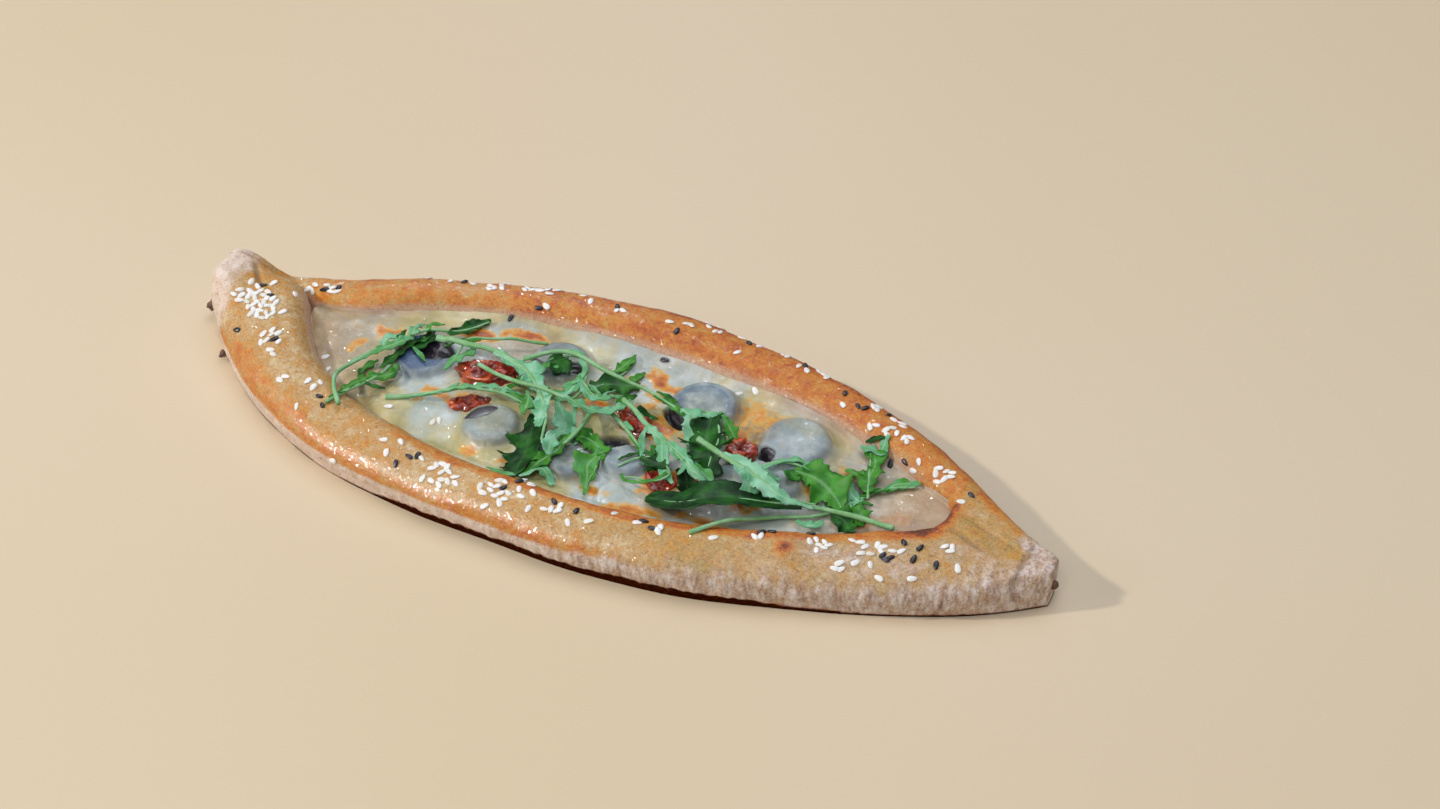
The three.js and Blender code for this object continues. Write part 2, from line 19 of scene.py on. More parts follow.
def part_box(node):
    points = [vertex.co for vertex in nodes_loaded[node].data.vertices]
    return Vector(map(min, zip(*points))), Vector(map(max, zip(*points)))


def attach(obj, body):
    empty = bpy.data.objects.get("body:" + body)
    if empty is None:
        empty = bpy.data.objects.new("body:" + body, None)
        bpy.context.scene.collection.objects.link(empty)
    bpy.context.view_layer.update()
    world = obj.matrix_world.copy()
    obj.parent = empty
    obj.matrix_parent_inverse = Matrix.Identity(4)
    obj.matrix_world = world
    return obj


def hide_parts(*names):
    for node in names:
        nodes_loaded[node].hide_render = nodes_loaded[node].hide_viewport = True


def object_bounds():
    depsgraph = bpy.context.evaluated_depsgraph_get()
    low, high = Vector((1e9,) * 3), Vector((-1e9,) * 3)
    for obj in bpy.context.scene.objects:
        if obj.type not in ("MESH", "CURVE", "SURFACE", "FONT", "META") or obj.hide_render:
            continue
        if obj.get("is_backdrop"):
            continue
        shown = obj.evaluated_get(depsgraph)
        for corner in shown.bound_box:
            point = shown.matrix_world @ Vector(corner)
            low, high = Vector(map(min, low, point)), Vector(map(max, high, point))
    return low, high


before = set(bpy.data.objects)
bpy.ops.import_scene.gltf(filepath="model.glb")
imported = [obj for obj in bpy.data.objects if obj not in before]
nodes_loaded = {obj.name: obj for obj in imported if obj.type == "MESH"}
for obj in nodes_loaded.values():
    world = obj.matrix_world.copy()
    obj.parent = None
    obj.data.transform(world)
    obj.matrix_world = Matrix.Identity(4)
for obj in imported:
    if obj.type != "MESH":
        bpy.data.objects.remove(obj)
cad_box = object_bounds()
print("loaded", len(nodes_loaded), "nodes")

# %% [markdown]
# ## Three small tools
# Everything below is worked out in millimetres with NumPy, a whole array of points at a time.
# `blend` mixes two values, `ease` goes from 0 to 1 between two places without a corner at
# either end, and `between` goes up to 1 and down again. Nearly every soft change of shape or
# colour on food is one of these three.

# %% Blend, ease and between
MM = 0.001


def blend(a, b, share):
    return a + (b - a) * share


def ease(value, start, end):
    t = np.clip((value - start) / (end - start), 0, 1)
    return t * t * (3 - 2 * t)


def between(value, rise_start, rise_end, fall_start, fall_end):
    return ease(value, rise_start, rise_end) * (1 - ease(value, fall_start, fall_end))


print("halfway up a slope:", ease(0.5, 0, 1), "and between two slopes:", between(2, 0, 1, 3, 4))

# %% [markdown]
# ## Lumps
# Dough, cheese and leaves are uneven at every scale. Blender's own fractal noise gives one
# number for one point, so this helper calls it for all points of a mesh. The size is that of
# the largest lumps in millimetres. A stretch below 1 draws the lumps out along that axis. A
# seed moves the whole pattern elsewhere, so that two patterns don't rise and fall together.

# %% Lumps


def lumps(points, size, octaves=3, seed=0, stretch=(1, 1, 1)):
    spots = np.asarray(points) * stretch / size + (17.3 * seed, 5.1 * seed, 9.7 * seed)
    return np.array([noise.fractal(spot, 1.0, 2.0, octaves) for spot in spots.tolist()])


sample = lumps(np.arange(300).reshape(100, 3), size=40)
print("lumps run from", sample.min().round(2), "to", sample.max().round(2))

# %% [markdown]
# ## The outline of the bread
# The bread's outline is known by a few sizes. Along its length each side draws in towards the
# tips by a power of the distance from the middle: a low power makes a slim almond, a high one
# a full, boxy shape. The middle of the loaf bends a little, so the tips aren't in line. These
# are the same sizes from which the solid was made, so the fine surface lies on it everywhere.

# %% Sizes of the outline
LEFT_TIP, RIGHT_TIP = -154, 150
HALF_WIDTH = 57.4
LEFT_TIP_HALF, RIGHT_TIP_HALF = 8, 4.5
AXIS_MIDDLE, AXIS_LEFT, AXIS_RIGHT = 4.4, 7.6, -1
LEFT_BEND_START, RIGHT_BEND_START = 112, 78
OPENING_LEFT, OPENING_RIGHT = -122, 118
OPENING_HALF, OPENING_MIDDLE = 36, 3.5
OPENING_FULL_LEFT, OPENING_FULL_RIGHT = 2.9, 2.1
OPENING_TURN, OPENING_TURN_END, OPENING_END_MIDDLE = 0, 110, 7.5
SEAM_HALF = 0.7
FLAP_START, FLAP_LENGTH, FLAP_REACH, FLAP_LIMIT = 98, 36, 24, 17
FAR_LEDGE = 3
NEAR = {"sign": -1, "full_left": 3.0, "full_right": 2.2, "crest": 16.2, "left_crest": 22, "phase": 0.4}
FAR = {"sign": 1, "full_left": 1.83, "full_right": 1.81, "crest": 16.6, "left_crest": 13, "phase": 2.1}
WOBBLE, LONG_WAVE, SHORT_WAVE = 0.6, 16, 7


def tipwards(x, left, right):
    return np.clip(np.where(x < 0, x / left, x / right), 0, 1)


def wobble(x, phase):
    return WOBBLE * (np.sin(x / LONG_WAVE + phase) + 0.6 * np.sin(x / SHORT_WAVE + 3 * phase))


def axis(x):
    leftwards = blend(AXIS_MIDDLE, AXIS_LEFT, ease(-x, LEFT_BEND_START, -LEFT_TIP))
    return blend(leftwards, AXIS_RIGHT, ease(x, RIGHT_BEND_START, RIGHT_TIP))


def outer_edge(side, x):
    full = np.where(x < 0, side["full_left"], side["full_right"])
    tip = np.where(x < 0, LEFT_TIP_HALF, RIGHT_TIP_HALF)
    half = blend(tip, HALF_WIDTH, 1 - tipwards(x, LEFT_TIP, RIGHT_TIP) ** full)
    return axis(x) + side["sign"] * (half + 0.5 * wobble(x, side["phase"]))


def opening_half(x):
    full = np.where(x < 0, OPENING_FULL_LEFT, OPENING_FULL_RIGHT)
    return np.maximum(SEAM_HALF, OPENING_HALF * (1 - tipwards(x, OPENING_LEFT, OPENING_RIGHT) ** full))


def opening_middle(x):
    folded = np.maximum(0, -x - FLAP_START) / FLAP_LENGTH
    leftwards = np.minimum(FLAP_LIMIT, OPENING_MIDDLE + FLAP_REACH * folded**2)
    turned = blend(leftwards, OPENING_END_MIDDLE, ease(x, OPENING_TURN, OPENING_TURN_END))
    middle = blend(turned, AXIS_RIGHT, ease(x, OPENING_RIGHT - 5, OPENING_RIGHT + 27))
    return np.minimum(middle, outer_edge(FAR, x) - FAR_LEDGE - SEAM_HALF)


def inner_edge(side, x):
    return opening_middle(x) + side["sign"] * opening_half(x)


length = np.linspace(LEFT_TIP, RIGHT_TIP, 200)
width = (outer_edge(FAR, length) - outer_edge(NEAR, length)).max()
print(f"the bread is {RIGHT_TIP - LEFT_TIP} mm long and {width:.1f} mm wide")

# %% [markdown]
# ## The height of the rim
# On each side the dough rises from the floor to a crest and falls to the outer wall. The crest
# climbs to a knob at the left tip, where the near side is folded over the far one. Beyond the
# opening the two inner walls meet in a pressed seam.

# %% Heights
RIGHT_CREST, KNOB_CREST, KNOB_START = 16, 26, 134
CREST_START, CREST_END, CREST_SHARE = 84, 140, 0.42
BULGE_HEIGHT, UNDERCUT, UNDERCUT_LIMIT = 7, 1.5, 0.55
ROUNDNESS = 2.4
SEAM_DEPTH, FOLD_DEPTH, CREASE_DEPTH, SEAM_TRACE = 2.2, 5.5, 1, 0.3
SEAM_RISE, SEAM_RUN, SEAM_FADE, SEAM_END = 4, 10, 15, 134
END_RISE, END_TOP = 10, 4
FLOOR = 4.5


def knob(x):
    return ease(-x, KNOB_START, -LEFT_TIP - 2)


def crest_height(side, x):
    rising = blend(side["crest"], side["left_crest"], ease(-x, CREST_START, KNOB_START))
    height = blend(blend(rising, KNOB_CREST, knob(x)), RIGHT_CREST, ease(x, CREST_START, CREST_END))
    return height + 0.5 * wobble(x, side["phase"] + 1)


def inner_height(side, x):
    depth = np.where(x < 0, FOLD_DEPTH if side is NEAR else SEAM_DEPTH, CREASE_DEPTH)
    climb_left = ease(OPENING_LEFT - x, -SEAM_RISE, SEAM_RUN)
    climb_right = ease(x - OPENING_RIGHT, -END_RISE, -END_TOP)
    pressed = blend(depth, SEAM_TRACE, np.maximum(knob(x), ease(x, SEAM_END - SEAM_FADE, SEAM_END)))
    return blend(FLOOR, crest_height(side, x) - pressed, np.where(x < 0, climb_left, climb_right))


def crest_place(side, x):
    return blend(inner_edge(side, x), outer_edge(side, x), CREST_SHARE)


print("crest at the middle:", crest_height(NEAR, np.array([0.0])).round(1), "mm")

# %% [markdown]
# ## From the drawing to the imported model
# The sizes above have their origin at a handy point of the drawing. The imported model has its
# origin in the middle of its underside. The bread's own box says how far the two are apart.

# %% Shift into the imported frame
bread_low, bread_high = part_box("bread")
drawn_x = np.linspace(LEFT_TIP, RIGHT_TIP, 2000)
drawn_low = np.array([LEFT_TIP, outer_edge(NEAR, drawn_x).min(), 0])
drawn_high = np.array([RIGHT_TIP, outer_edge(FAR, drawn_x).max(), 0])
packed_middle = (np.array(bread_low) + np.array(bread_high)) / 2 / MM
SHIFT = packed_middle - (drawn_low + drawn_high) / 2
SHIFT[2] = bread_low.z / MM


def to_frame(points):
    return (np.asarray(points, float) + SHIFT) * MM


def to_drawing(points):
    return np.asarray(points, float) / MM - SHIFT


print("shift", SHIFT.round(2), "mm")

# %% [markdown]
# ## Making a piece
# Most pieces here are grids: rows of points joined by four-sided faces. `grid_faces` joins
# them, `make_piece` turns points and faces into an object that rides on the one body of this
# part and stands for its plain node, and `paint` stores a number for each point, which a
# material can read later by its name. `push_out` moves every point outwards by an amount of
# its own, which is how all fine relief is made.

# %% Grids and pieces


def grid_faces(rows, columns, ring=False):
    steps = columns if ring else columns - 1
    row, column = np.meshgrid(np.arange(rows - 1), np.arange(steps), indexing="ij")
    here = row * columns + column
    beside = row * columns + (column + 1) % columns
    return np.stack([here, beside, beside + columns, here + columns], -1).reshape(-1, 4)


def make_piece(name, points, faces, nodes):
    mesh = bpy.data.meshes.new(name)
    mesh.from_pydata(to_frame(points).tolist(), [], [list(map(int, face)) for face in faces])
    mesh.validate()
    mesh.shade_smooth()
    piece = bpy.data.objects.new(name, mesh)
    bpy.context.scene.collection.objects.link(piece)
    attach(piece, "root")
    if nodes:
        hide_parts(*nodes)
    return piece


def paint(piece, name, values):
    layer = piece.data.attributes.new(name, "FLOAT", "POINT")
    layer.data.foreach_set("value", np.asarray(values, np.float32))


def push_out(piece, amount):
    mesh = piece.data
    count = len(mesh.vertices)
    places = np.empty(count * 3, np.float32)
    directions = np.empty(count * 3, np.float32)
    mesh.vertices.foreach_get("co", places)
    mesh.vertex_normals.foreach_get("vector", directions)
    moved = places.reshape(-1, 3) + directions.reshape(-1, 3) * (np.asarray(amount) * MM)[:, None]
    mesh.vertices.foreach_set("co", moved.astype(np.float32).ravel())
    mesh.update()


print("a 3 by 4 grid has", len(grid_faces(3, 4)), "faces")

# %% [markdown]
# ## The section of the bread
# A slice across the loaf shows two rounded rims on a flat base. Each rim is built from three
# stretches: the lower wall, which draws in to the table, the outer quarter up to the crest and
# the inner quarter down to the filling. The quarters are superellipses, which are squarer than
# circles, as risen dough is. With each point goes its rim place: 2 at the foot, 1 at the widest
# point, 0 at the crest and -1 at the inner edge. The finish is painted by that number.

# %% Section of one rim
LOWER_STEPS, QUARTER_STEPS, FLOOR_STEPS, BASE_STEPS = 10, 28, 4, 10
UNDERCUT_BEND = 1.2


def rim_columns(side, x):
    inner, outer, crest = inner_edge(side, x), outer_edge(side, x), crest_place(side, x)
    top, foot = crest_height(side, x), inner_height(side, x)
    rounded = np.minimum(UNDERCUT, UNDERCUT_LIMIT * np.abs(outer - crest))
    columns = []
    for level in np.linspace(0, 1, LOWER_STEPS, endpoint=False):
        drawn_in = side["sign"] * rounded * (1 - level) ** UNDERCUT_BEND
        columns.append((outer - drawn_in, BULGE_HEIGHT * level + 0 * x, 2 - level + 0 * x))
    climb = np.linspace(0, math.pi / 2, QUARTER_STEPS, endpoint=False)
    descent = np.linspace(math.pi / 2, 0, QUARTER_STEPS)
    for edge, low, sign, turns in ((outer, BULGE_HEIGHT, 1, climb), (inner, foot, -1, descent)):
        for turn in turns:
            out, up = math.cos(turn) ** (2 / ROUNDNESS), math.sin(turn) ** (2 / ROUNDNESS)
            columns.append((blend(crest, edge, out), blend(low, top, up), sign * out + 0 * x))
    return columns


print("one rim has", len(rim_columns(NEAR, np.array([0.0]))), "points in its section")

# %% [markdown]
# ## The loaf
# Sections stand close together along the loaf, closer still at the tips. At each tip the
# section first shrinks a little, which rounds the edge of the blunt end, and then shrinks to a
# point within the end face, which closes it. The underside runs straight back from foot to
# foot.

# %% Sections along the loaf
LEFT_ROUNDING, LEFT_FACE = 6, 0.62
RIGHT_ROUNDING, RIGHT_FACE = 2, 0.94
BODY_STATIONS, TIP_STATIONS, FACE_RINGS = 520, 9, 8


def loaf_stations():
    turn = np.linspace(0, math.pi / 2, TIP_STATIONS, endpoint=False)
    rounding = 1 - np.cos(turn)
    body = np.linspace(LEFT_TIP + LEFT_ROUNDING, RIGHT_TIP - RIGHT_ROUNDING, BODY_STATIONS)
    right = RIGHT_TIP - RIGHT_ROUNDING * rounding
    return np.concatenate([LEFT_TIP + LEFT_ROUNDING * rounding, body, right[::-1]])


def loaf_rings():
    x = loaf_stations()
    near, far = rim_columns(NEAR, x), rim_columns(FAR, x)
    ring = list(near)
    for share in np.linspace(0, 1, FLOOR_STEPS + 2)[1:-1]:
        ring.append(tuple(blend(near[-1][i], far[-1][i], share) for i in range(3)))
    ring += far[::-1]
    for share in np.linspace(0, 1, BASE_STEPS + 2)[1:-1]:
        ring.append(tuple(blend(far[0][i], near[0][i], share) for i in range(3)))
    y, z, place = (np.stack([column[i] for column in ring], 1) for i in range(3))
    inset = np.where(x < 0, (x - LEFT_TIP) / LEFT_ROUNDING, (RIGHT_TIP - x) / RIGHT_ROUNDING)
    missing = 1 - np.clip(inset, 0, 1)
    size = blend(np.where(x < 0, LEFT_FACE, RIGHT_FACE), 1, np.sqrt(1 - missing**2))[:, None]
    middle = ((outer_edge(NEAR, x) + outer_edge(FAR, x)) / 2)[:, None]
    height = (crest_height(NEAR, x) / 2)[:, None]
    y, z = blend(middle, y, size), blend(height, z, size)
    return np.repeat(x[:, None], y.shape[1], 1), y, z, place


def close_end(x, y, z, place, shrink):
    return x, blend(y.mean(), y, shrink), blend(z.mean(), z, shrink), place


x, y, z, rim_place = loaf_rings()
shrinks = np.linspace(0.02, 1, FACE_RINGS, endpoint=False)
left_face = [close_end(x[0], y[0], z[0], rim_place[0], s) for s in shrinks]
right_face = [close_end(x[-1], y[-1], z[-1], rim_place[-1], s) for s in shrinks[::-1]]
x, y, z, rim_place = (
    np.vstack([[ring[i] for ring in left_face], layer, [ring[i] for ring in right_face]])
    for i, layer in enumerate((x, y, z, rim_place))
)
loaf = np.stack([x, y, z], -1)
print("the loaf is a grid of", loaf.shape[0], "rings of", loaf.shape[1], "points")

# %% [markdown]
# ## Faces of the loaf
# The rings are joined into a closed skin, and each end gets one small many-sided face.

# %% Baked bread
loaf_rows, loaf_columns = loaf.shape[:2]
loaf_points = loaf.reshape(-1, 3)
first_ring = list(range(loaf_columns))
last_ring = list(range((loaf_rows - 1) * loaf_columns, loaf_rows * loaf_columns))
loaf_faces = [list(face)[::-1] for face in grid_faces(loaf_rows, loaf_columns, ring=True)]
loaf_faces += [first_ring, last_ring[::-1]]
bread = make_piece("baked_bread", loaf_points, loaf_faces, ["bread"])
print("baked bread:", len(bread.data.polygons), "faces")

# %% [markdown]
# ## Where on the bread is what
# A dough wall that lay against flour stays pale and wrinkled, a wall brushed with egg turns
# golden and shines, and the thin inner edge beside the cheese browns most. To paint this, each
# point needs to know its side, its place on the rim and how far along the loaf it lies. The top
# of the near flour is a line of places and heights, straight at the left and ragged at the
# right, so three of its values are pairs: one for its straight part, one for its ragged part.

# %% Regions of the crust
LUMP_SIZES = (22, 7, 2.2)
FLOUR_LINE = [(-150, 9.5), (-100, 8.4), (-10, 8.8), (21, 10.4), (45, 11.2), (70, 12), (109, 12), (130, 15)]
LINE_LUMPS, LINE_WRINKLES, LINE_SOFTNESS = (0.5, 2.4), (0.3, 1.6), (0.6, 3.2)
DUSTING = 0.34
px, py, pz = loaf_points.T
place = rim_place.ravel()
near_side = py < opening_middle(px)
large, middling, fine = (lumps(loaf_points, size, 3, seed) for seed, size in enumerate(LUMP_SIZES, 1))
wrinkles = lumps(loaf_points, 2.6, 3, 4, stretch=(1, 0.35, 0.22))
raggedness = ease(px, -10, 70)
flour_top = np.interp(px, *zip(*FLOUR_LINE))
flour_top += blend(*LINE_LUMPS, raggedness) * middling + blend(*LINE_WRINKLES, raggedness) * wrinkles
softness = blend(*LINE_SOFTNESS, raggedness)
near_flour = ease(flour_top - pz, -softness, softness) * ease(place, 0.1, 0.4)
far_flour = ease(place, 1.0, 1.2)
dusting = DUSTING * near_side * ease(px, 40, 90) * ease(place, -0.4, 0.2) * (1 + 2 * middling)
wall_flour = np.where(near_side, np.maximum(near_flour, dusting), far_flour)
ragged_tip = 3 * middling + 2 * large
right_tip_flour = ease(px - ragged_tip, 137, 142)
left_tip_flour = ease(-px - ragged_tip, 140, 147)
flour = np.clip(np.maximum(wall_flour, np.maximum(right_tip_flour, left_tip_flour)), 0, 1)
print("floured share of the points:", flour.mean().round(2))

# %% [markdown]
# ## Relief of the crust
# Three sizes of lumps make the skin uneven: broad swellings, blisters and a fine grain. The
# floured wall is wrinkled from top to bottom, because the dough sagged against the board, so
# its lumps are stretched upright, and blisters and grain stand higher on it: their heights are
# pairs, for bare and for floured dough. A few single marks are listed one by one. A blister has a
# place, a radius and a height, and the first one has burst. A crease has a start, an end and a
# depth: two lie in the closed right end and one is the fold in the knob.

# %% Push the skin out and in
BLISTERS = [(74, -30, 5.5, 1.2), (-56, -44, 6, 0.4), (98, -10, 6, 0.5), (121, 1, 5, 0.6), (40, 52, 6, 0.4)]
BLISTER_FOOT, CREASE_FOOT, CREASE_WIDTH = 8, 5, 0.9
CREASES = [((116, -1), (128, -5), 0.5), ((141, -12), (141.5, 4), 0.7), ((-137, 7), (-142, 13), 1.0)]
SWELLING, WRINKLING, FOLDING = 0.5, 0.32, 0.35
BLISTERING, GRAININESS = (0.18, 0.3), (0.05, 0.12)
folds = lumps(loaf_points, 9, 2, 5, stretch=(1, 0.3, 0.15))
skin = np.clip(1 - ease(place, 1.5, 1.9), 0, 1) * (place > -0.96)
relief = SWELLING * large + blend(*BLISTERING, flour) * middling + blend(*GRAININESS, flour) * fine
relief += flour * (WRINKLING * wrinkles + FOLDING * folds)
for bx, by, radius, height in BLISTERS:
    relief += height * np.exp(-(((px - bx) ** 2 + (py - by) ** 2) / radius**2)) * (pz > BLISTER_FOOT)


def distance_to_line(start, end):
    along = np.subtract(end, start)
    gap = loaf_points[:, :2] - start
    share = np.clip(gap @ along / (along @ along), 0, 1)
    return np.linalg.norm(gap - share[:, None] * along, axis=1)


# The creases are also painted darker, as painted shade in the folds.
crease_shade = np.zeros(len(px))
for start, end, depth in CREASES:
    mark = np.exp(-((distance_to_line(start, end) / CREASE_WIDTH) ** 2)) * (pz > CREASE_FOOT)
    relief -= depth * mark
    crease_shade = np.maximum(crease_shade, mark)
push_out(bread, relief * skin)
print("relief from", (relief * skin).min().round(2), "to", (relief * skin).max().round(2), "mm")

# %% [markdown]
# ## How brown is the bread
# One number says how far each point is baked, from pale dough to dark brown, and the material
# turns it into colour. The far rim faced the heat and is orange-brown all over. The near one is
# golden on top and darker along its inner edge and on its lower shoulder.

# %% Tone of both rims
NEAR_TONE, FAR_LEFT_TONE, FAR_TONE = 0.25, 0.44, 0.54
INNER_DARKER, SHOULDER_DARKER, FAR_WALL_DARKER, FAR_END_PALER = 0.3, 0.2, 0.22, 0.08
inner_line = ease(-place + 0.1 * middling, 0, 0.2) * ease(px, -75, -45)
orange_band = between(pz, 6.5, 8.5, 11.5, 14) * (place > 0.3) * (1 - ease(px, 5, 45))
leftmost = between(-px, 62, 92, 128, 140) * ease(place, 0.5, 0.85)
near_toast = NEAR_TONE + 0.02 * ease(px, -70, -20) + INNER_DARKER * inner_line
near_toast += SHOULDER_DARKER * np.maximum(orange_band, leftmost)
far_toast = blend(FAR_LEFT_TONE, FAR_TONE, ease(px, -95, -40))
far_toast += FAR_WALL_DARKER * ease(place, 0.4, 0.85) - FAR_END_PALER * ease(px, 70, 110)
toast = np.where(near_side, near_toast, far_toast)
print("rims baked from", toast.min().round(2), "to", toast.max().round(2))

# %% [markdown]
# ## Pale folds and dark marks
# The knob and the pressed closing at the right lay under other dough, so they stayed paler.
# The wall folded over beside the knob is painted pale too, as painted light on a side that lies
# in shade. A glow browned the ring of dough round the end of the opening, the far ridge beyond it
# and the blister that burst.

# %% Folds and marks
KNOB_TONE, FOLD_LIGHT_TONE, CLOSED_TONE, BURST_TONE = 0.28, 0.24, 0.32, 0.82
GLOW_DARKER, RIDGE_DARKER = 0.3, 0.2
GLOW_X, GLOW_Y, GLOW_RADIUS, GLOW_WIDTH = 103, 6, 10, 3.2
BURST_RADIUS = 4.2
LUMP_SHARES = (0.06, 0.09, 0.07)
knob_top = ease(-px, 122, 132) * (place < 0.8)
# Painted light: the folded wall lies in shade and is painted pale.
lit_fold_wall = near_side * between(-px, 106, 114, 124, 130) * ease(-place, 0.3, 0.5)
closed = ease(px, 112, 117) * (1 - ease(place, 0.5, 0.95))
for tone, where in ((KNOB_TONE, knob_top), (FOLD_LIGHT_TONE, lit_fold_wall), (CLOSED_TONE, closed)):
    toast = blend(toast, tone, where)
end_ring = np.hypot(px - GLOW_X, (py - GLOW_Y) * 0.85) - GLOW_RADIUS
end_glow = np.exp(-((end_ring / GLOW_WIDTH) ** 2)) * ease(px, 80, 98) * (py < 11)
far_ridge = ~near_side * between(px, 112, 122, 134, 140) * ease(place, -0.2, 0.3)
toast += GLOW_DARKER * end_glow + RIDGE_DARKER * far_ridge
for share, pattern in zip(LUMP_SHARES, (large, middling, fine)):
    toast += share * pattern
bx, by = BLISTERS[0][:2]
burst = np.exp(-(((px - bx + 1) ** 2 + (py - by) ** 2) / BURST_RADIUS**2)) * (pz > BLISTER_FOOT)
toast = np.maximum(toast, BURST_TONE * burst)
print("browning from", toast.min().round(2), "to", toast.max().round(2))

# %% [markdown]
# ## Painted shade along the foot
# The dark band along the foot is painted shade: it stands for the shadowed gap under the lifted
# edge of the loaf. It reaches highest along the middle of the loaf, stays low towards both tips
# and leaves the two blunt end faces free.

# %% Painted shade along the foot
FOOT_SHADE_TONE, FOOT_SHADE_START, FOOT_SHADE_SOFT = 1.1, 1.4, 0.05
foot_shade_start = FOOT_SHADE_START + 0.5 * ease(-px, 30, 85) + 0.4 * ease(px, 45, 100)
# Painted shade: a near-black band along the foot, for the shadowed gap under the edge.
foot_shade = ease(place + 0.1 * middling, foot_shade_start - FOOT_SHADE_SOFT, foot_shade_start + FOOT_SHADE_SOFT)
foot_shade *= 1 - ease(np.abs(px), 128, 138) * ease(pz, 0.5, 1.3)
toast = blend(toast, FOOT_SHADE_TONE, foot_shade)
flour *= (1 - foot_shade) * (1 - burst)
print("dark share of the points:", (foot_shade > 0.5).mean().round(2))

# %% [markdown]
# ## Film, egg wash and dust
# At the foot of the inner walls a pale film of steamed dough meets the cheese. Egg wash was
# brushed over both rims, thinly on the far one and towards the right, and none of it shows on
# flour or on the painted shade along the foot. Olive-tan dust dulls the near rim and the closing
# at the right. Flour lies smooth on the knob and along the left, and in coarse grains at the right.

# %% Paint the bread
THIN_WASH = 0.3
pale_foot = ease(-place, 0.66, 0.84) * (1 - closed)
far_film = ~near_side * pale_foot * (1 - ease(-px, 124, 130)) * (1 - ease(px, 92, 102))
near_film = near_side * pale_foot * between(-px, 92, 104, 122, 128)
wash = np.clip((1 - flour) * blend(1, THIN_WASH, ease(px, 0, 60) * near_side) * (1 - foot_shade), 0, 1)
wash *= blend(1, THIN_WASH, ~near_side * np.maximum(ease(-place, -0.25, 0.2), ease(px, -40, 0)))
shoulder = blend(THIN_WASH, 1, ease(place, 0.35, 0.7)) * blend(1, 0.5, ease(-px, 85, 105))
wash *= blend(1, shoulder, near_side)
dusty = near_side * ease(px, -15, 50) * (1 - orange_band) * (1 - inner_line) * (place < 1.2)
dusty = np.maximum(dusty, closed * (1 - far_ridge)) * np.clip(0.75 + 0.8 * middling, 0, 1)
crust_layers = {
    # The toast layer also holds the painted shade along the foot.
    "toast": np.clip(toast, 0, 1.2),
    "flour": flour,
    "crease_shade": crease_shade,
    "film": np.maximum(far_film, near_film),
    "wash": wash,
    "dusty": dusty * (1 - burst) * (1 - end_glow),
    "smooth_flour": np.maximum(ease(-px, 112, 130), 0.75 * (1 - ease(px, -40, 25))),
}
for layer, values in crust_layers.items():
    paint(bread, layer, values)
print("painted:", ", ".join(crust_layers))

# %% [markdown]
# ## Building materials by name
# A material is a small graph of nodes. These helpers add one node each and return its output,
# so that a material below reads like a recipe. `lay` spreads one colour over another where a
# painted number says so, and `dress` gives the finished material to its pieces. All patterns
# use the piece's own coordinates, which are in metres: a noise with a scale of 500 has spots of
# about 2 mm.

# %% Node helpers


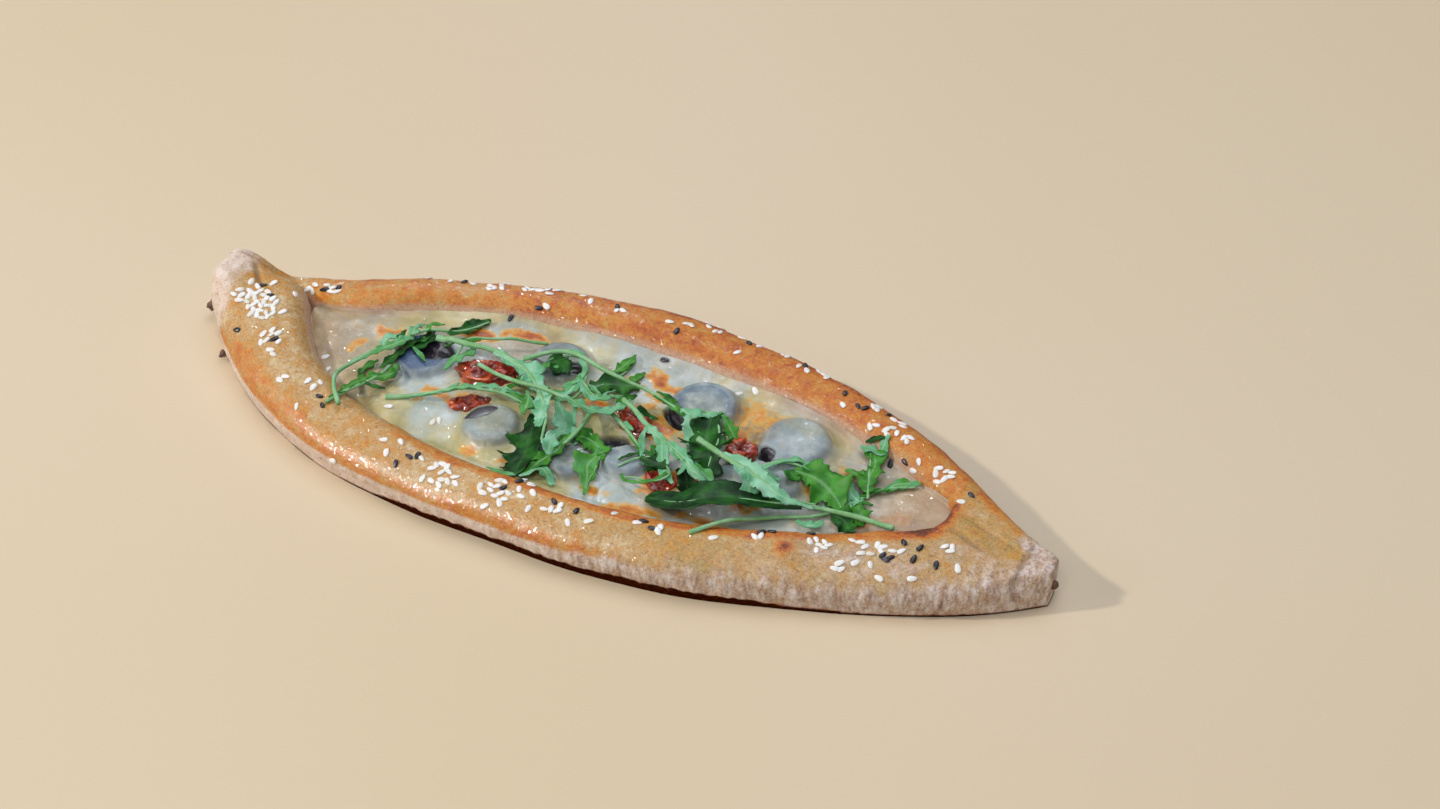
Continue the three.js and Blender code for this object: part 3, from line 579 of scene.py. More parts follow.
class Finish:
    def __init__(self, name, roughness=0.5, **constants):
        self.material = bpy.data.materials.new(name)
        self.material.use_nodes = True
        self.tree = self.material.node_tree
        self.shader = self.tree.nodes["Principled BSDF"]
        self.shader.inputs["Roughness"].default_value = roughness
        for socket, value in constants.items():
            self.shader.inputs[socket.replace("_", " ")].default_value = value

    def link(self, value, socket):
        """The output of another node, or a plain value, for this socket."""
        if isinstance(value, bpy.types.NodeSocket):
            self.tree.links.new(value, socket)
        else:
            socket.default_value = value

    def painted(self, name):
        """The number that `paint` stored at each point under this name."""
        node = self.tree.nodes.new("ShaderNodeAttribute")
        node.attribute_name = name
        return node.outputs["Fac"]

    def spots(self, scale, detail=3, roughness=0.5, stretch=None):
        """A soft noise, mostly between 0.3 and 0.7."""
        node = self.tree.nodes.new("ShaderNodeTexNoise")
        place = self.tree.nodes.new("ShaderNodeTexCoord").outputs["Object"]
        if stretch:
            mapping = self.tree.nodes.new("ShaderNodeMapping")
            mapping.inputs["Scale"].default_value = stretch
            self.tree.links.new(place, mapping.inputs["Vector"])
            place = mapping.outputs["Vector"]
        self.tree.links.new(place, node.inputs["Vector"])
        node.inputs["Scale"].default_value = scale
        node.inputs["Detail"].default_value = detail
        node.inputs["Roughness"].default_value = roughness
        return node.outputs["Fac"]

    def maths(self, kind, *values):
        node = self.tree.nodes.new("ShaderNodeMath")
        node.operation = kind
        for value, socket in zip(values, node.inputs):
            self.link(value, socket)
        return node.outputs[0]

    def span(self, value, low, high, to_low=0.0, to_high=1.0):
        """The stretch from low to high, spread smoothly over another one."""
        node = self.tree.nodes.new("ShaderNodeMapRange")
        node.interpolation_type = "SMOOTHSTEP"
        limits = {"From Min": low, "From Max": high, "To Min": to_low, "To Max": to_high}
        for socket, number in limits.items():
            node.inputs[socket].default_value = number
        self.link(value, node.inputs["Value"])
        return node.outputs["Result"]

    def ramp(self, value, *stops):
        """A colour for each value, from stops that are a position and a colour."""
        node = self.tree.nodes.new("ShaderNodeValToRGB")
        elements = node.color_ramp.elements
        for i, (position, colour) in enumerate(stops):
            element = elements[i] if i < 2 else elements.new(position)
            element.position = position
            element.color = linear(colour)
        self.link(value, node.inputs["Fac"])
        return node.outputs["Color"]

    def mix(self, share, a, b, kind="MIX"):
        node = self.tree.nodes.new("ShaderNodeMix")
        node.data_type = "RGBA"
        node.blend_type = kind
        for value, socket in zip((share, a, b), (node.inputs[0], node.inputs[6], node.inputs[7])):
            self.link(linear(value) if isinstance(value, str) else value, socket)
        return node.outputs[2]

    def lay(self, colour, over, layer, share=1.0):
        """A second colour over the first, where the painted number of that name says so."""
        return self.mix(self.maths("MULTIPLY", self.painted(layer), share), colour, over)

    def bumps(self, height, strength, distance_mm, below=None):
        """A tilted surface direction, as if the height stood out by that distance."""
        node = self.tree.nodes.new("ShaderNodeBump")
        node.inputs["Strength"].default_value = strength
        node.inputs["Distance"].default_value = distance_mm * MM
        self.link(height, node.inputs["Height"])
        if below:
            self.link(below, node.inputs["Normal"])
        return node.outputs["Normal"]

    def set(self, **values):
        """Values or node outputs for the sockets of the shader, by their names."""
        for socket, value in values.items():
            self.link(value, self.shader.inputs[socket.replace("_", " ")])

    def dress(self, *pieces):
        for piece in pieces:
            piece.data.materials.append(self.material)


def linear(colour):
    """A colour written as rrggbb, in the linear numbers that shaders use."""
    parts = [int(colour[i : i + 2], 16) / 255 for i in (0, 2, 4)]
    return [c / 12.92 if c <= 0.04045 else ((c + 0.055) / 1.055) ** 2.4 for c in parts] + [1]


print("pale dough is", [round(c, 2) for c in linear("e1cdb4")])

# %% [markdown]
# ## The crust
# The painted number for baking picks a colour from pale dough over gold to brown, and near black
# for the painted shade along the foot; a little noise keeps the steps from showing. Flour covers
# it where that number says so, with darker flecks of bran. Egg wash dries in small beads, so its
# coat is strong on the beads and weak between them, and fine bumps below the coat make a glazed
# crust sparkle.

# %% Colour of the crust
BAKING_COLOURS = [
    (0.08, "d8c096"), (0.26, "c79e64"), (0.38, "cc9446"), (0.5, "d08222"),
    (0.66, "be6012"), (0.8, "843a10"), (1.0, "3a1404"),
]
crust = Finish("crust", Coat_Roughness=0.08)
grain = crust.spots(750, 3, 0.6)
mottle = crust.spots(240, 4, 0.6)
baked = crust.maths("ADD", crust.painted("toast"), crust.span(mottle, 0.3, 0.7, -0.1, 0.1))
baked = crust.maths("ADD", baked, crust.span(grain, 0.35, 0.65, -0.05, 0.05))
baked_colour = crust.ramp(baked, *BAKING_COLOURS)
tan_spots = crust.spots(210, 4, 0.65)
olive_tan = crust.ramp(tan_spots, (0.38, "a8944c"), (0.5, "b6945e"), (0.6, "c89c46"), (0.7, "b8722e"))
baked_colour = crust.lay(baked_colour, olive_tan, "dusty", 0.7)
sifted = crust.spots(560, 5, 0.65, stretch=(1, 1, 0.3))
flour_colour = crust.ramp(sifted, (0.28, "84685a"), (0.42, "bea698"), (0.54, "d8c8c0"), (0.68, "eee6e4"))
bare = crust.span(crust.spots(260, 3), 0.5, 0.66, 0.0, 0.4)
flour_colour = crust.mix(bare, flour_colour, "bd9463")
knob_flour = crust.ramp(mottle, (0.3, "dec4b2"), (0.6, "eedfd4"))
flour_colour = crust.lay(flour_colour, knob_flour, "smooth_flour")
floury = crust.maths("MULTIPLY", crust.painted("flour"), crust.span(mottle, 0.25, 0.42, 0.5, 1.0))
dough_colour = crust.mix(floury, baked_colour, flour_colour)
dough_colour = crust.lay(dough_colour, "d3af97", "film", 0.85)
speckle = crust.ramp(crust.spots(1400, 2), (0.36, "989898"), (0.5, "bcbcbc"), (0.64, "dadada"))
dough_colour = crust.mix(0.4, dough_colour, speckle, "OVERLAY")
bran = crust.span(crust.spots(950, 2), 0.6, 0.67)
dough_colour = crust.mix(crust.maths("MULTIPLY", bran, 0.35), dough_colour, "6f4526")
# Painted shade darkens the creases and the fold in the knob.
dough_colour = crust.lay(dough_colour, "6d5040", "crease_shade", 0.45)
print("crust colour nodes:", len(crust.tree.nodes))

# %% Gloss of the crust
rough = crust.maths("SUBTRACT", 0.8, crust.maths("MULTIPLY", crust.painted("wash"), 0.35))
pitted = crust.bumps(sifted, 0.35, 0.6, crust.bumps(grain, 0.6, 0.4))
glaze = crust.bumps(crust.spots(600, 1), 1.0, 0.7)
beads = crust.span(crust.spots(520, 1), 0.48, 0.56, 0.1, 1.0)
crust.set(Base_Color=dough_colour, Roughness=rough, Normal=pitted, Coat_Normal=glaze)
crust.set(Coat_Weight=crust.maths("MULTIPLY", crust.painted("wash"), beads))
# Gloss fades out on the painted shade along the foot, so that it stays dark.
crust.set(Specular_IOR_Level=crust.span(crust.painted("toast"), 0.9, 1.05, 0.5, 0.0))
crust.dress(bread)
print("crust nodes:", len(crust.tree.nodes))

# %% [markdown]
# ## The cheese
# Melted cheese finds its own level, climbs a little where it meets the dough and lies as a
# thin skin over the olive slices, which show through as blue-grey domes. At the near left it
# has shrunk away from the dough instead. Where the skin has torn the dark olive shows. So the
# cheese is a height over a grid: its level, plus a dome for each slice, minus the torn places.
# A slice is given by its place, its radius, the radius of its hole and how clearly it shows
# through, and a torn place by its middle, its two half axes and its turn in degrees.

# %% Fillings that lie in the cheese
CHEESE_TOP, CHEESE_CROWN, CHEESE_FLOW = 10.4, 1.2, 0.35
OLIVE_THICKNESS, OLIVE_SUNK, OLIVE_ROUNDING = 5.6, 3.2, 2.4
OLIVES = [
    (-74, 6, 10.5, 4.0, 1.0),
    (-31, 22, 10, 3.6, 0.85),
    (22, 22, 11.5, 3.2, 0.92),
    (56, 18, 11.5, 3.2, 0.7),
    (-37, -15, 9.5, 3.2, 0.78),
    (-6, -19, 7.6, 2.6, 0.9),
    (10, -12, 7.3, 2.6, 0.85),
    (43, -7, 7, 2.4, 0.7),
    (60, -2, 6.5, 2.4, 0.75),
]
TORN = [
    (-71, 9, 6.4, 4.8, 20), (-42, -12, 5.6, 2.3, 51), (2.5, -5, 5.2, 4, 20),
    (15.2, 13.6, 5.6, 2.6, -42), (49.6, 9.4, 3.2, 2.2, -20), (-38, 16, 3.4, 3.4, 0),
    (-25, 20, 3.0, 2.2, 0), (55.5, -1.5, 2.2, 1.7, 0),
]
FILM_THICKNESS, CREAM_THICKNESS, CREAM_OVER_SLICE, DIMPLE = 0.7, 0.7, 0.4, 0.25


def cheese_level(x, y):
    across = np.clip((y - opening_middle(x)) / opening_half(x), -1, 1)
    flow = CHEESE_FLOW * (np.sin(x / 9 + y / 13) + np.sin(y / 6 - x / 17))
    return CHEESE_TOP + CHEESE_CROWN * (1 - across**2) + flow


def level_at(x, y):
    return float(cheese_level(np.array(x), np.array(y)))


def in_oval(x, y, oval, soft):
    cx, cy, half_long, half_wide, turn = oval
    c, s = math.cos(math.radians(turn)), math.sin(math.radians(turn))
    u = ((x - cx) * c + (y - cy) * s) / half_long
    v = ((y - cy) * c - (x - cx) * s) / half_wide
    return ease(-np.hypot(u, v), -1 - soft, -1 + soft)


print(len(OLIVES), "olive slices,", len(TORN), "torn places, cheese at", round(level_at(0, 0), 1), "mm")

# %% [markdown]
# ## The cheese as a grid
# The grid follows the opening and reaches a little into the dough on both sides, so that no
# gap shows. Over each slice the skin follows the rounded top of the slice at a small distance
# and dips a little over its hole. Where the skin is torn it drops below the slice.

# %% Grid of the lid
CHEESE_ROWS, CHEESE_COLUMNS = 440, 150
CHEESE_BITE, CHEESE_BOTTOM = 1.2, FLOOR + 0.6
CHEESE_LUMP_SIZES, CHEESE_LUMP_HEIGHTS = (16, 5, 1.8), (0.6, 0.22, 0.05)
cheese_x = np.linspace(OPENING_LEFT + 2, OPENING_RIGHT - 5, CHEESE_ROWS)[:, None]
share = np.linspace(0, 1, CHEESE_COLUMNS)[None, :]
near_shore = inner_edge(NEAR, cheese_x) - CHEESE_BITE
far_shore = inner_edge(FAR, cheese_x) + CHEESE_BITE
gx = np.repeat(cheese_x, CHEESE_COLUMNS, 1).ravel()
gy = blend(near_shore, far_shore, share).ravel()
flat = np.stack([gx, gy, 0 * gx], 1)
slow, quick, quickest = (lumps(flat, size, 3, seed) for seed, size in enumerate(CHEESE_LUMP_SIZES, 11))
print("the lid is a grid of", CHEESE_ROWS, "by", CHEESE_COLUMNS, "points")

# %% Domes over the slices
lid_height = cheese_level(gx, gy)
for height, pattern in zip(CHEESE_LUMP_HEIGHTS, (slow, quick, quickest)):
    lid_height += height * pattern
slice_top = OLIVE_THICKNESS - OLIVE_SUNK
veil_lumps = 0.6 * quick + 0.4 * slow
shade, rim_shade = np.zeros(len(gx)), np.zeros(len(gx))
for cx, cy, radius, hole, veil in OLIVES:
    out = np.hypot(gx - cx, gy - cy)
    edge = np.clip(out - radius + OLIVE_ROUNDING, 0, OLIVE_ROUNDING)
    top = slice_top - OLIVE_ROUNDING + np.sqrt(OLIVE_ROUNDING**2 - edge**2) + FILM_THICKNESS
    top -= DIMPLE * (1 - ease(out, 0.4 * hole, 1.5 * hole))
    top += CREAM_OVER_SLICE * veil_lumps * (1.4 - veil)
    top += level_at(cx, cy) + CREAM_THICKNESS * (1 - veil)
    cover = 1 - ease(out / radius, 0.98, 1.45 - 0.25 * veil)
    lid_height = blend(lid_height, np.maximum(lid_height, top), cover)
    reach = out / radius + 0.08 * quick
    creamy = 0.9 * (1 - veil) * (1 - ease(reach, 0.3, 0.85))
    shade = np.maximum(shade, veil * (1 - ease(reach, 0.7, 1.25)) * (1 - creamy))
    # Near its edge each dome is darker where the skin over the slice is thin, and darker still on its
    # right, near flank, as painted shade.
    shaded_flank = ease(((gx - cx) - (gy - cy)) / radius, -0.6, 1.1)
    rim_shade = np.maximum(rim_shade, veil * shaded_flank * np.exp(-(((reach - 0.9) / 0.2) ** 2)))
print("olive shows through", (shade > 0.3).mean().round(2), "of the lid")

# %% Lid of cheese
BANK_HEIGHT, NEAR_LEFT_BANK, RIGHT_RISE, TORN_DEPTH = 1.3, -0.4, 0.8, 2.3
torn = np.zeros(len(gx))
for oval in TORN:
    torn = np.maximum(torn, in_oval(gx + 0.35 * quickest, gy + 0.5 * quick, oval, 0.14))
across = blend(-1, 1, np.repeat(share, CHEESE_ROWS, 0).ravel())
climb = blend(BANK_HEIGHT, NEAR_LEFT_BANK, ease(-gx, 46, 70) * (across < 0))
bank = ease(np.abs(across), 0.88, 1) * climb
gz = lid_height + bank + RIGHT_RISE * ease(gx, 92, 110) - TORN_DEPTH * torn
lid = np.stack([gx, gy, gz], 1)
print("lid of cheese from", gz.min().round(1), "to", gz.max().round(1), "mm")

# %% [markdown]
# ## Closing the cheese
# A slab needs an underside. Nothing of it shows, so it has only the two shores and one broad
# face between each pair of rows, and the walls join it to the lid.

# %% Melted cheese
corner = np.arange(len(lid)).reshape(CHEESE_ROWS, CHEESE_COLUMNS)
bed = lid[corner[:, [0, -1]].ravel()] * (1, 1, 0) + (0, 0, CHEESE_BOTTOM)
near_bed = len(lid) + 2 * np.arange(CHEESE_ROWS)
far_bed = near_bed + 1


def strip(first, second):
    return np.stack([first[:-1], first[1:], second[1:], second[:-1]], 1)


cheese_faces = list(grid_faces(CHEESE_ROWS, CHEESE_COLUMNS)[:, ::-1])
cheese_faces += [*strip(corner[:, 0], near_bed), *strip(near_bed, far_bed), *strip(far_bed, corner[:, -1])]
cheese_faces += [[near_bed[0], far_bed[0], *corner[0, ::-1]], [far_bed[-1], near_bed[-1], *corner[-1]]]
cheese = make_piece("melted_cheese", np.vstack([lid, bed]), cheese_faces, ["cheese"])
print("melted cheese:", len(cheese.data.polygons), "faces")

# %% [markdown]
# ## Browned and tinted places
# The cheese browned where fat gathered. Each such place is a soft oval with a broken edge,
# given by its middle, its two half axes, its turn in degrees and its strength. Towards the far
# wall and the right end the cheese is thin and the pink of the dough shows. A few broad rounds
# are warmer in colour.

# %% Paint the cheese
BROWNED = [
    (-92, 12, 3, 2.4, 0, 0.8), (-97, 2, 2.4, 3.4, 0, 0.6), (-87, 14, 2.6, 1.6, 0, 0.7),
    (-62, 24, 6, 2.6, 0, 1.0), (-47, 31, 6, 2.6, 5, 1.0), (-55, 28, 3, 2.0, 0, 0.7),
    (-60, -8, 6, 2.0, -10, 0.7), (-46, -8, 8, 3, -15, 1.0), (-38, -27, 3.6, 3, 0, 0.45),
    (-66, -12, 2.4, 1.6, 0, 0.6), (-25, -27, 4, 3, 0, 0.5), (-5, 25, 5, 2, -30, 0.5),
    (3, 29, 6, 2.4, -38, 0.9), (11, 25, 5, 2.2, -30, 1.0), (6, 18, 5, 4, 0, 0.5),
    (-1, 10, 4, 3, 0, 0.7), (10, 7, 9, 4, 0, 0.8), (-11, 8, 5, 3, 0, 0.8), (5, -27, 5, 3, 0, 0.5),
    (20, -30, 8, 2.4, 5, 0.7), (24, -16, 6, 5, 0, 1.0), (41, 24, 10, 7, -35, 0.45),
    (39, 13, 4, 5, 0, 0.55), (30, -12, 6, 4, 0, 0.8), (50, -13, 6, 3, 0, 0.7), (70, 1, 4, 4, 0, 0.65),
    (76, 14, 4, 3, 0, 0.3), (88, -4, 6, 2.4, 15, 0.75), (97, 0, 5, 2, 30, 0.6), (44, -25, 9, 2, 0, 0.6),
]
WARM_ROUNDS = [(40, 22, 14, 0.9), (14, -2, 12, 0.5), (30, -18, 16, 0.6), (-45, 24, 14, 0.5)]
broken_x, broken_y = gx + 2.2 * quick, gy + 1.2 * slow + 0.8 * quickest
browned = np.zeros(len(gx))
for *oval, strength in BROWNED:
    browned = np.maximum(browned, strength * in_oval(broken_x, broken_y, oval, 0.9))
browned *= 1 - 0.9 * shade
far_thin = ease(share + 0 * cheese_x, 0.9, 0.985).ravel()
far_thin *= np.maximum(0.3, ease(np.abs(gx + 25), 45, 75))
right_thin = ease(gx, 82 + 0.3 * gy, 96 + 0.3 * gy)
left_film = ease(-gx - 0.5 * gy, 96, 108)
thin = np.maximum(np.maximum(far_thin, right_thin), 0.55 * left_film)
warm = np.maximum(0.6 * ease(-gx - 0.4 * gy, 72, 98), 0.5 * ease(gx, 55, 85))
for wx, wy, reach, strength in WARM_ROUNDS:
    out = np.hypot(gx - wx, gy - wy) + 6 * slow
    warm = np.maximum(warm, strength * (1 - ease(out, 0.4 * reach, reach)))
lid_layers = {
    "warm": warm,
    "olive_below": shade,
    "olive_rim_shade": rim_shade * shade,
    "torn": torn,
    "browned": browned,
    "thin": thin,
}
for layer, values in lid_layers.items():
    paint(cheese, layer, np.concatenate([values, np.zeros(len(bed))]))
print("browned share:", (browned > 0.3).mean().round(2))

# %% [markdown]
# ## Cheese material
# Cheese is cloudy: light enters, scatters and leaves, which subsurface scattering imitates. The
# colour is a greenish cream that turns yellow, orange and brown where it is browned and
# blue-grey where an olive lies below. Fat stands on it in small glossy beads, more in some
# places than in others, and tiny bumps break their gloss into sparks.

# %% Colour of the cheese
curd = Finish("cheese", Subsurface_Weight=0.2, Subsurface_Scale=0.003, Coat_Roughness=0.07)
curd.set(Subsurface_Radius=(1.0, 0.8, 0.5))
cloud = curd.spots(90, 3)
cream = curd.ramp(cloud, (0.3, "9c9868"), (0.44, "b4ae7a"), (0.56, "c4bc8a"), (0.7, "d4d2ae"))
milky = curd.ramp(cloud, (0.3, "9badac"), (0.5, "b7c4c2"), (0.7, "d4dfe4"))
warm = curd.ramp(cloud, (0.3, "94703c"), (0.5, "a88552"), (0.7, "c0a674"))
pink = curd.ramp(cloud, (0.3, "a88a72"), (0.5, "bb9f88"), (0.7, "ccbcab"))
veil = curd.ramp(curd.spots(170, 3), (0.34, "546f80"), (0.5, "768f9e"), (0.66, "a6b8be"))
colour = curd.mix(curd.span(curd.spots(38, 2), 0.44, 0.6), cream, milky)
colour = curd.lay(colour, warm, "warm")
browning = curd.maths("ADD", curd.painted("browned"), curd.span(curd.spots(260, 3), 0.3, 0.7, -0.22, 0.22))
gold = curd.ramp(browning, (0.0, "c9b878"), (0.35, "e0ac42"), (0.65, "d28226"), (0.95, "b05412"))
colour = curd.mix(curd.span(browning, 0.08, 0.5), colour, gold)
colour = curd.lay(colour, pink, "thin", 0.75)
colour = curd.lay(colour, veil, "olive_below", 0.9)
colour = curd.mix(curd.span(curd.painted("olive_below"), 0.86, 0.96, 0.0, 0.8), colour, "264c80")
# Painted shade on the right, near flank of each dome, over its thin edge.
colour = curd.lay(colour, "3c5270", "olive_rim_shade", 0.7)
colour = curd.lay(colour, "1a1620", "torn")
print("cheese colour nodes:", len(curd.tree.nodes))

# %% Gloss of the cheese
pores = curd.spots(1100, 2, 0.6)
fatty = curd.span(curd.spots(110, 3), 0.42, 0.56, 0.0, 0.9)
wet_beads = curd.span(curd.spots(480, 1), 0.46, 0.56)
curd.set(Base_Color=colour, Roughness=curd.span(pores, 0.3, 0.7, 0.5, 0.7))
curd.set(Normal=curd.bumps(pores, 0.4, 0.15), Coat_Normal=curd.bumps(curd.spots(560, 1), 1.0, 0.8))
curd.set(Coat_Weight=curd.maths("MULTIPLY", fatty, wet_beads))
curd.dress(cheese)
print("cheese nodes:", len(curd.tree.nodes))

# %% [markdown]
# ## Olive slices
# A slice is a profile turned round its axis: a rounded edge, a flat top and the hole of the
# stone in the middle. Lumps make it as uneven as a cooked olive.

# %% Lathed slices
OLIVE_SIDES, OLIVE_LIP = 56, 0.8


def lathe(profile, sides):
    turn = np.linspace(0, 2 * math.pi, sides, endpoint=False)
    radius, height = np.array(profile, float).T
    level = np.repeat(height[:, None], sides, 1)
    points = np.stack([np.outer(radius, np.cos(turn)), np.outer(radius, np.sin(turn)), level], -1)
    return points.reshape(-1, 3), capped(len(profile), sides)


def capped(rings, sides):
    last = (rings - 1) * sides
    faces = [list(face) for face in grid_faces(rings, sides, ring=True)]
    return faces + [list(range(sides))[::-1], list(range(last, last + sides))]


def olive_profile(radius, hole):
    edge, lip_edge = OLIVE_ROUNDING, OLIVE_LIP
    rounded = [
        (radius - edge + edge * math.sin(t), OLIVE_THICKNESS - edge + edge * math.cos(t))
        for t in np.linspace(math.pi / 2, 0, 9)
    ]
    lip = [
        (hole + lip_edge * (1 - math.sin(t)), OLIVE_THICKNESS - lip_edge + lip_edge * math.cos(t))
        for t in np.linspace(0, math.pi / 2, 6)
    ]
    return [(radius - 2, 0), (radius - 0.6, 0.6), *rounded, *lip, (0.75 * hole, 2.6), (0.05, 2.4)]


olive_slices = []
for number, (cx, cy, radius, hole, _) in enumerate(OLIVES, 1):
    points, faces = lathe(olive_profile(radius, hole), OLIVE_SIDES)
    points = points + (cx, cy, level_at(cx, cy) - OLIVE_SUNK)
    piece = make_piece(f"olive_slice_{number}", points, faces, [f"olive_{number}"])
    push_out(piece, 0.2 * lumps(points, 5, 2, 20 + number))
    olive_slices.append(piece)
print(len(OLIVES), "slices of", len(faces), "faces")

# %% [markdown]
# ## Olive material
# Black olives are a dark purple brown. Baking has dulled them to a soft waxy sheen, and a paler
# bloom lies on the flesh.

# %% Olive finish
flesh = Finish("olive_flesh", Coat_Weight=0.06, Coat_Roughness=0.2)
bloom = flesh.spots(350, 4)
flesh.set(Base_Color=flesh.ramp(bloom, (0.35, "17131a"), (0.55, "2a2430"), (0.75, "444052")))
flesh.set(Roughness=flesh.span(bloom, 0.3, 0.7, 0.45, 0.65))
flesh.set(Normal=flesh.bumps(flesh.spots(900), 0.4, 0.3))
flesh.dress(*olive_slices)
print("olive nodes:", len(flesh.tree.nodes))

# %% [markdown]
# ## Dried tomato
# A dried tomato is a collapsed skin: a flattened ball whose surface is drawn into sharp folds.
# Folds have sharp ridges and round valleys, so the size of a lump is used without its sign. A
# piece is given by its place, its half length and half width, its height and its turn.

# %% Tomato pieces
TOMATO_SUNK, TOMATO_FOLD = 1.6, 0.12
TOMATO_SWELL, TOMATO_FOLD_DEPTH = 0.5, 1.8
TOMATOES = [
    (-50, 6, 11, 5.5, 6.5, 18),
    (-49, -8, 7, 3.4, 3.6, 34),
    (5, 5, 7.5, 4.6, 5.5, -25),
    (42, 6, 5.5, 4.6, 8.5, 60),
    (24, -16, 5.5, 4, 4, -15),
]


def tomato_points(cx, cy, half_long, half_wide, high, turn, rings=36, sides=56):
    tilt = np.linspace(0.03, math.pi - 0.03, rings)[:, None]
    round_ = np.linspace(0, 2 * math.pi, sides, endpoint=False)[None, :]
    up = np.cos(tilt) + 0 * round_
    level = np.sin(tilt)
    lengthwise = TOMATO_FOLD * np.sin(3 * round_ + cx) * level**2
    layered = 2 / 3 * TOMATO_FOLD * np.sin(5 * up + turn)
    size = 1 + lengthwise + layered
    u, v = level * np.cos(round_) * size * half_long, level * np.sin(round_) * size * half_wide
    c, s = math.cos(math.radians(turn)), math.sin(math.radians(turn))
    seat = level_at(cx, cy) + high / 2 - TOMATO_SUNK
    points = np.stack([cx + u * c - v * s, cy + u * s + v * c, seat - up * high / 2], -1)
    return points.reshape(-1, 3), rings, sides


tomatoes = []
for number, sizes in enumerate(TOMATOES, 1):
    points, rings, sides = tomato_points(*sizes)
    faces = capped(rings, sides)
    piece = make_piece(f"dried_tomato_{number}", points, faces, [f"tomato_{number}"])
    crinkle = 1.3 * np.abs(lumps(points, 5, 3, 40 + number))
    crinkle += 0.5 * np.abs(lumps(points, 2, 2, 50 + number))
    push_out(piece, TOMATO_SWELL - TOMATO_FOLD_DEPTH * crinkle)
    paint(piece, "fold", crinkle)
    tomatoes.append(piece)
print(len(tomatoes), "pieces of dried tomato")

# %% [markdown]
# ## Tomato material
# The skin is dark red, darker and nearly brown down in the valleys of its folds, orange where it is thin,
# and oily.

# %% Tomato finish
tomato_skin = Finish("tomato_skin", 0.35, Coat_Weight=0.6, Coat_Roughness=0.1)
tomato_skin.set(Subsurface_Weight=0.08, Subsurface_Scale=0.002)
red = tomato_skin.ramp(tomato_skin.spots(190, 3), (0.32, "86170a"), (0.5, "b5320f"), (0.66, "d8641c"))
deep = tomato_skin.span(tomato_skin.painted("fold"), 0.2, 0.7, 0.0, 0.65)
tomato_skin.set(Base_Color=tomato_skin.mix(deep, red, "5a120b"))
tomato_skin.set(Normal=tomato_skin.bumps(tomato_skin.spots(800, 4), 0.5, 0.4))
tomato_skin.dress(*tomatoes)
print("tomato nodes:", len(tomato_skin.tree.nodes))

# %% [markdown]
# ## Rocket leaves
# A rocket leaf is a juicy stem that runs on as the midrib of a thin blade, and the blade is cut
# into ragged lobes that curl every way. So each leaf is drawn as one path for its stem and
# midrib, and a few ribbons for its lobes. A ribbon is a list of places with a half width. The
# first number of each is its tone: 0 is the dark glossy upper side and 1 the pale mint-green
# underside. A leaf may turn over along its length, so its ribbons differ in tone. A stem has
# two radii, for its start and its end.

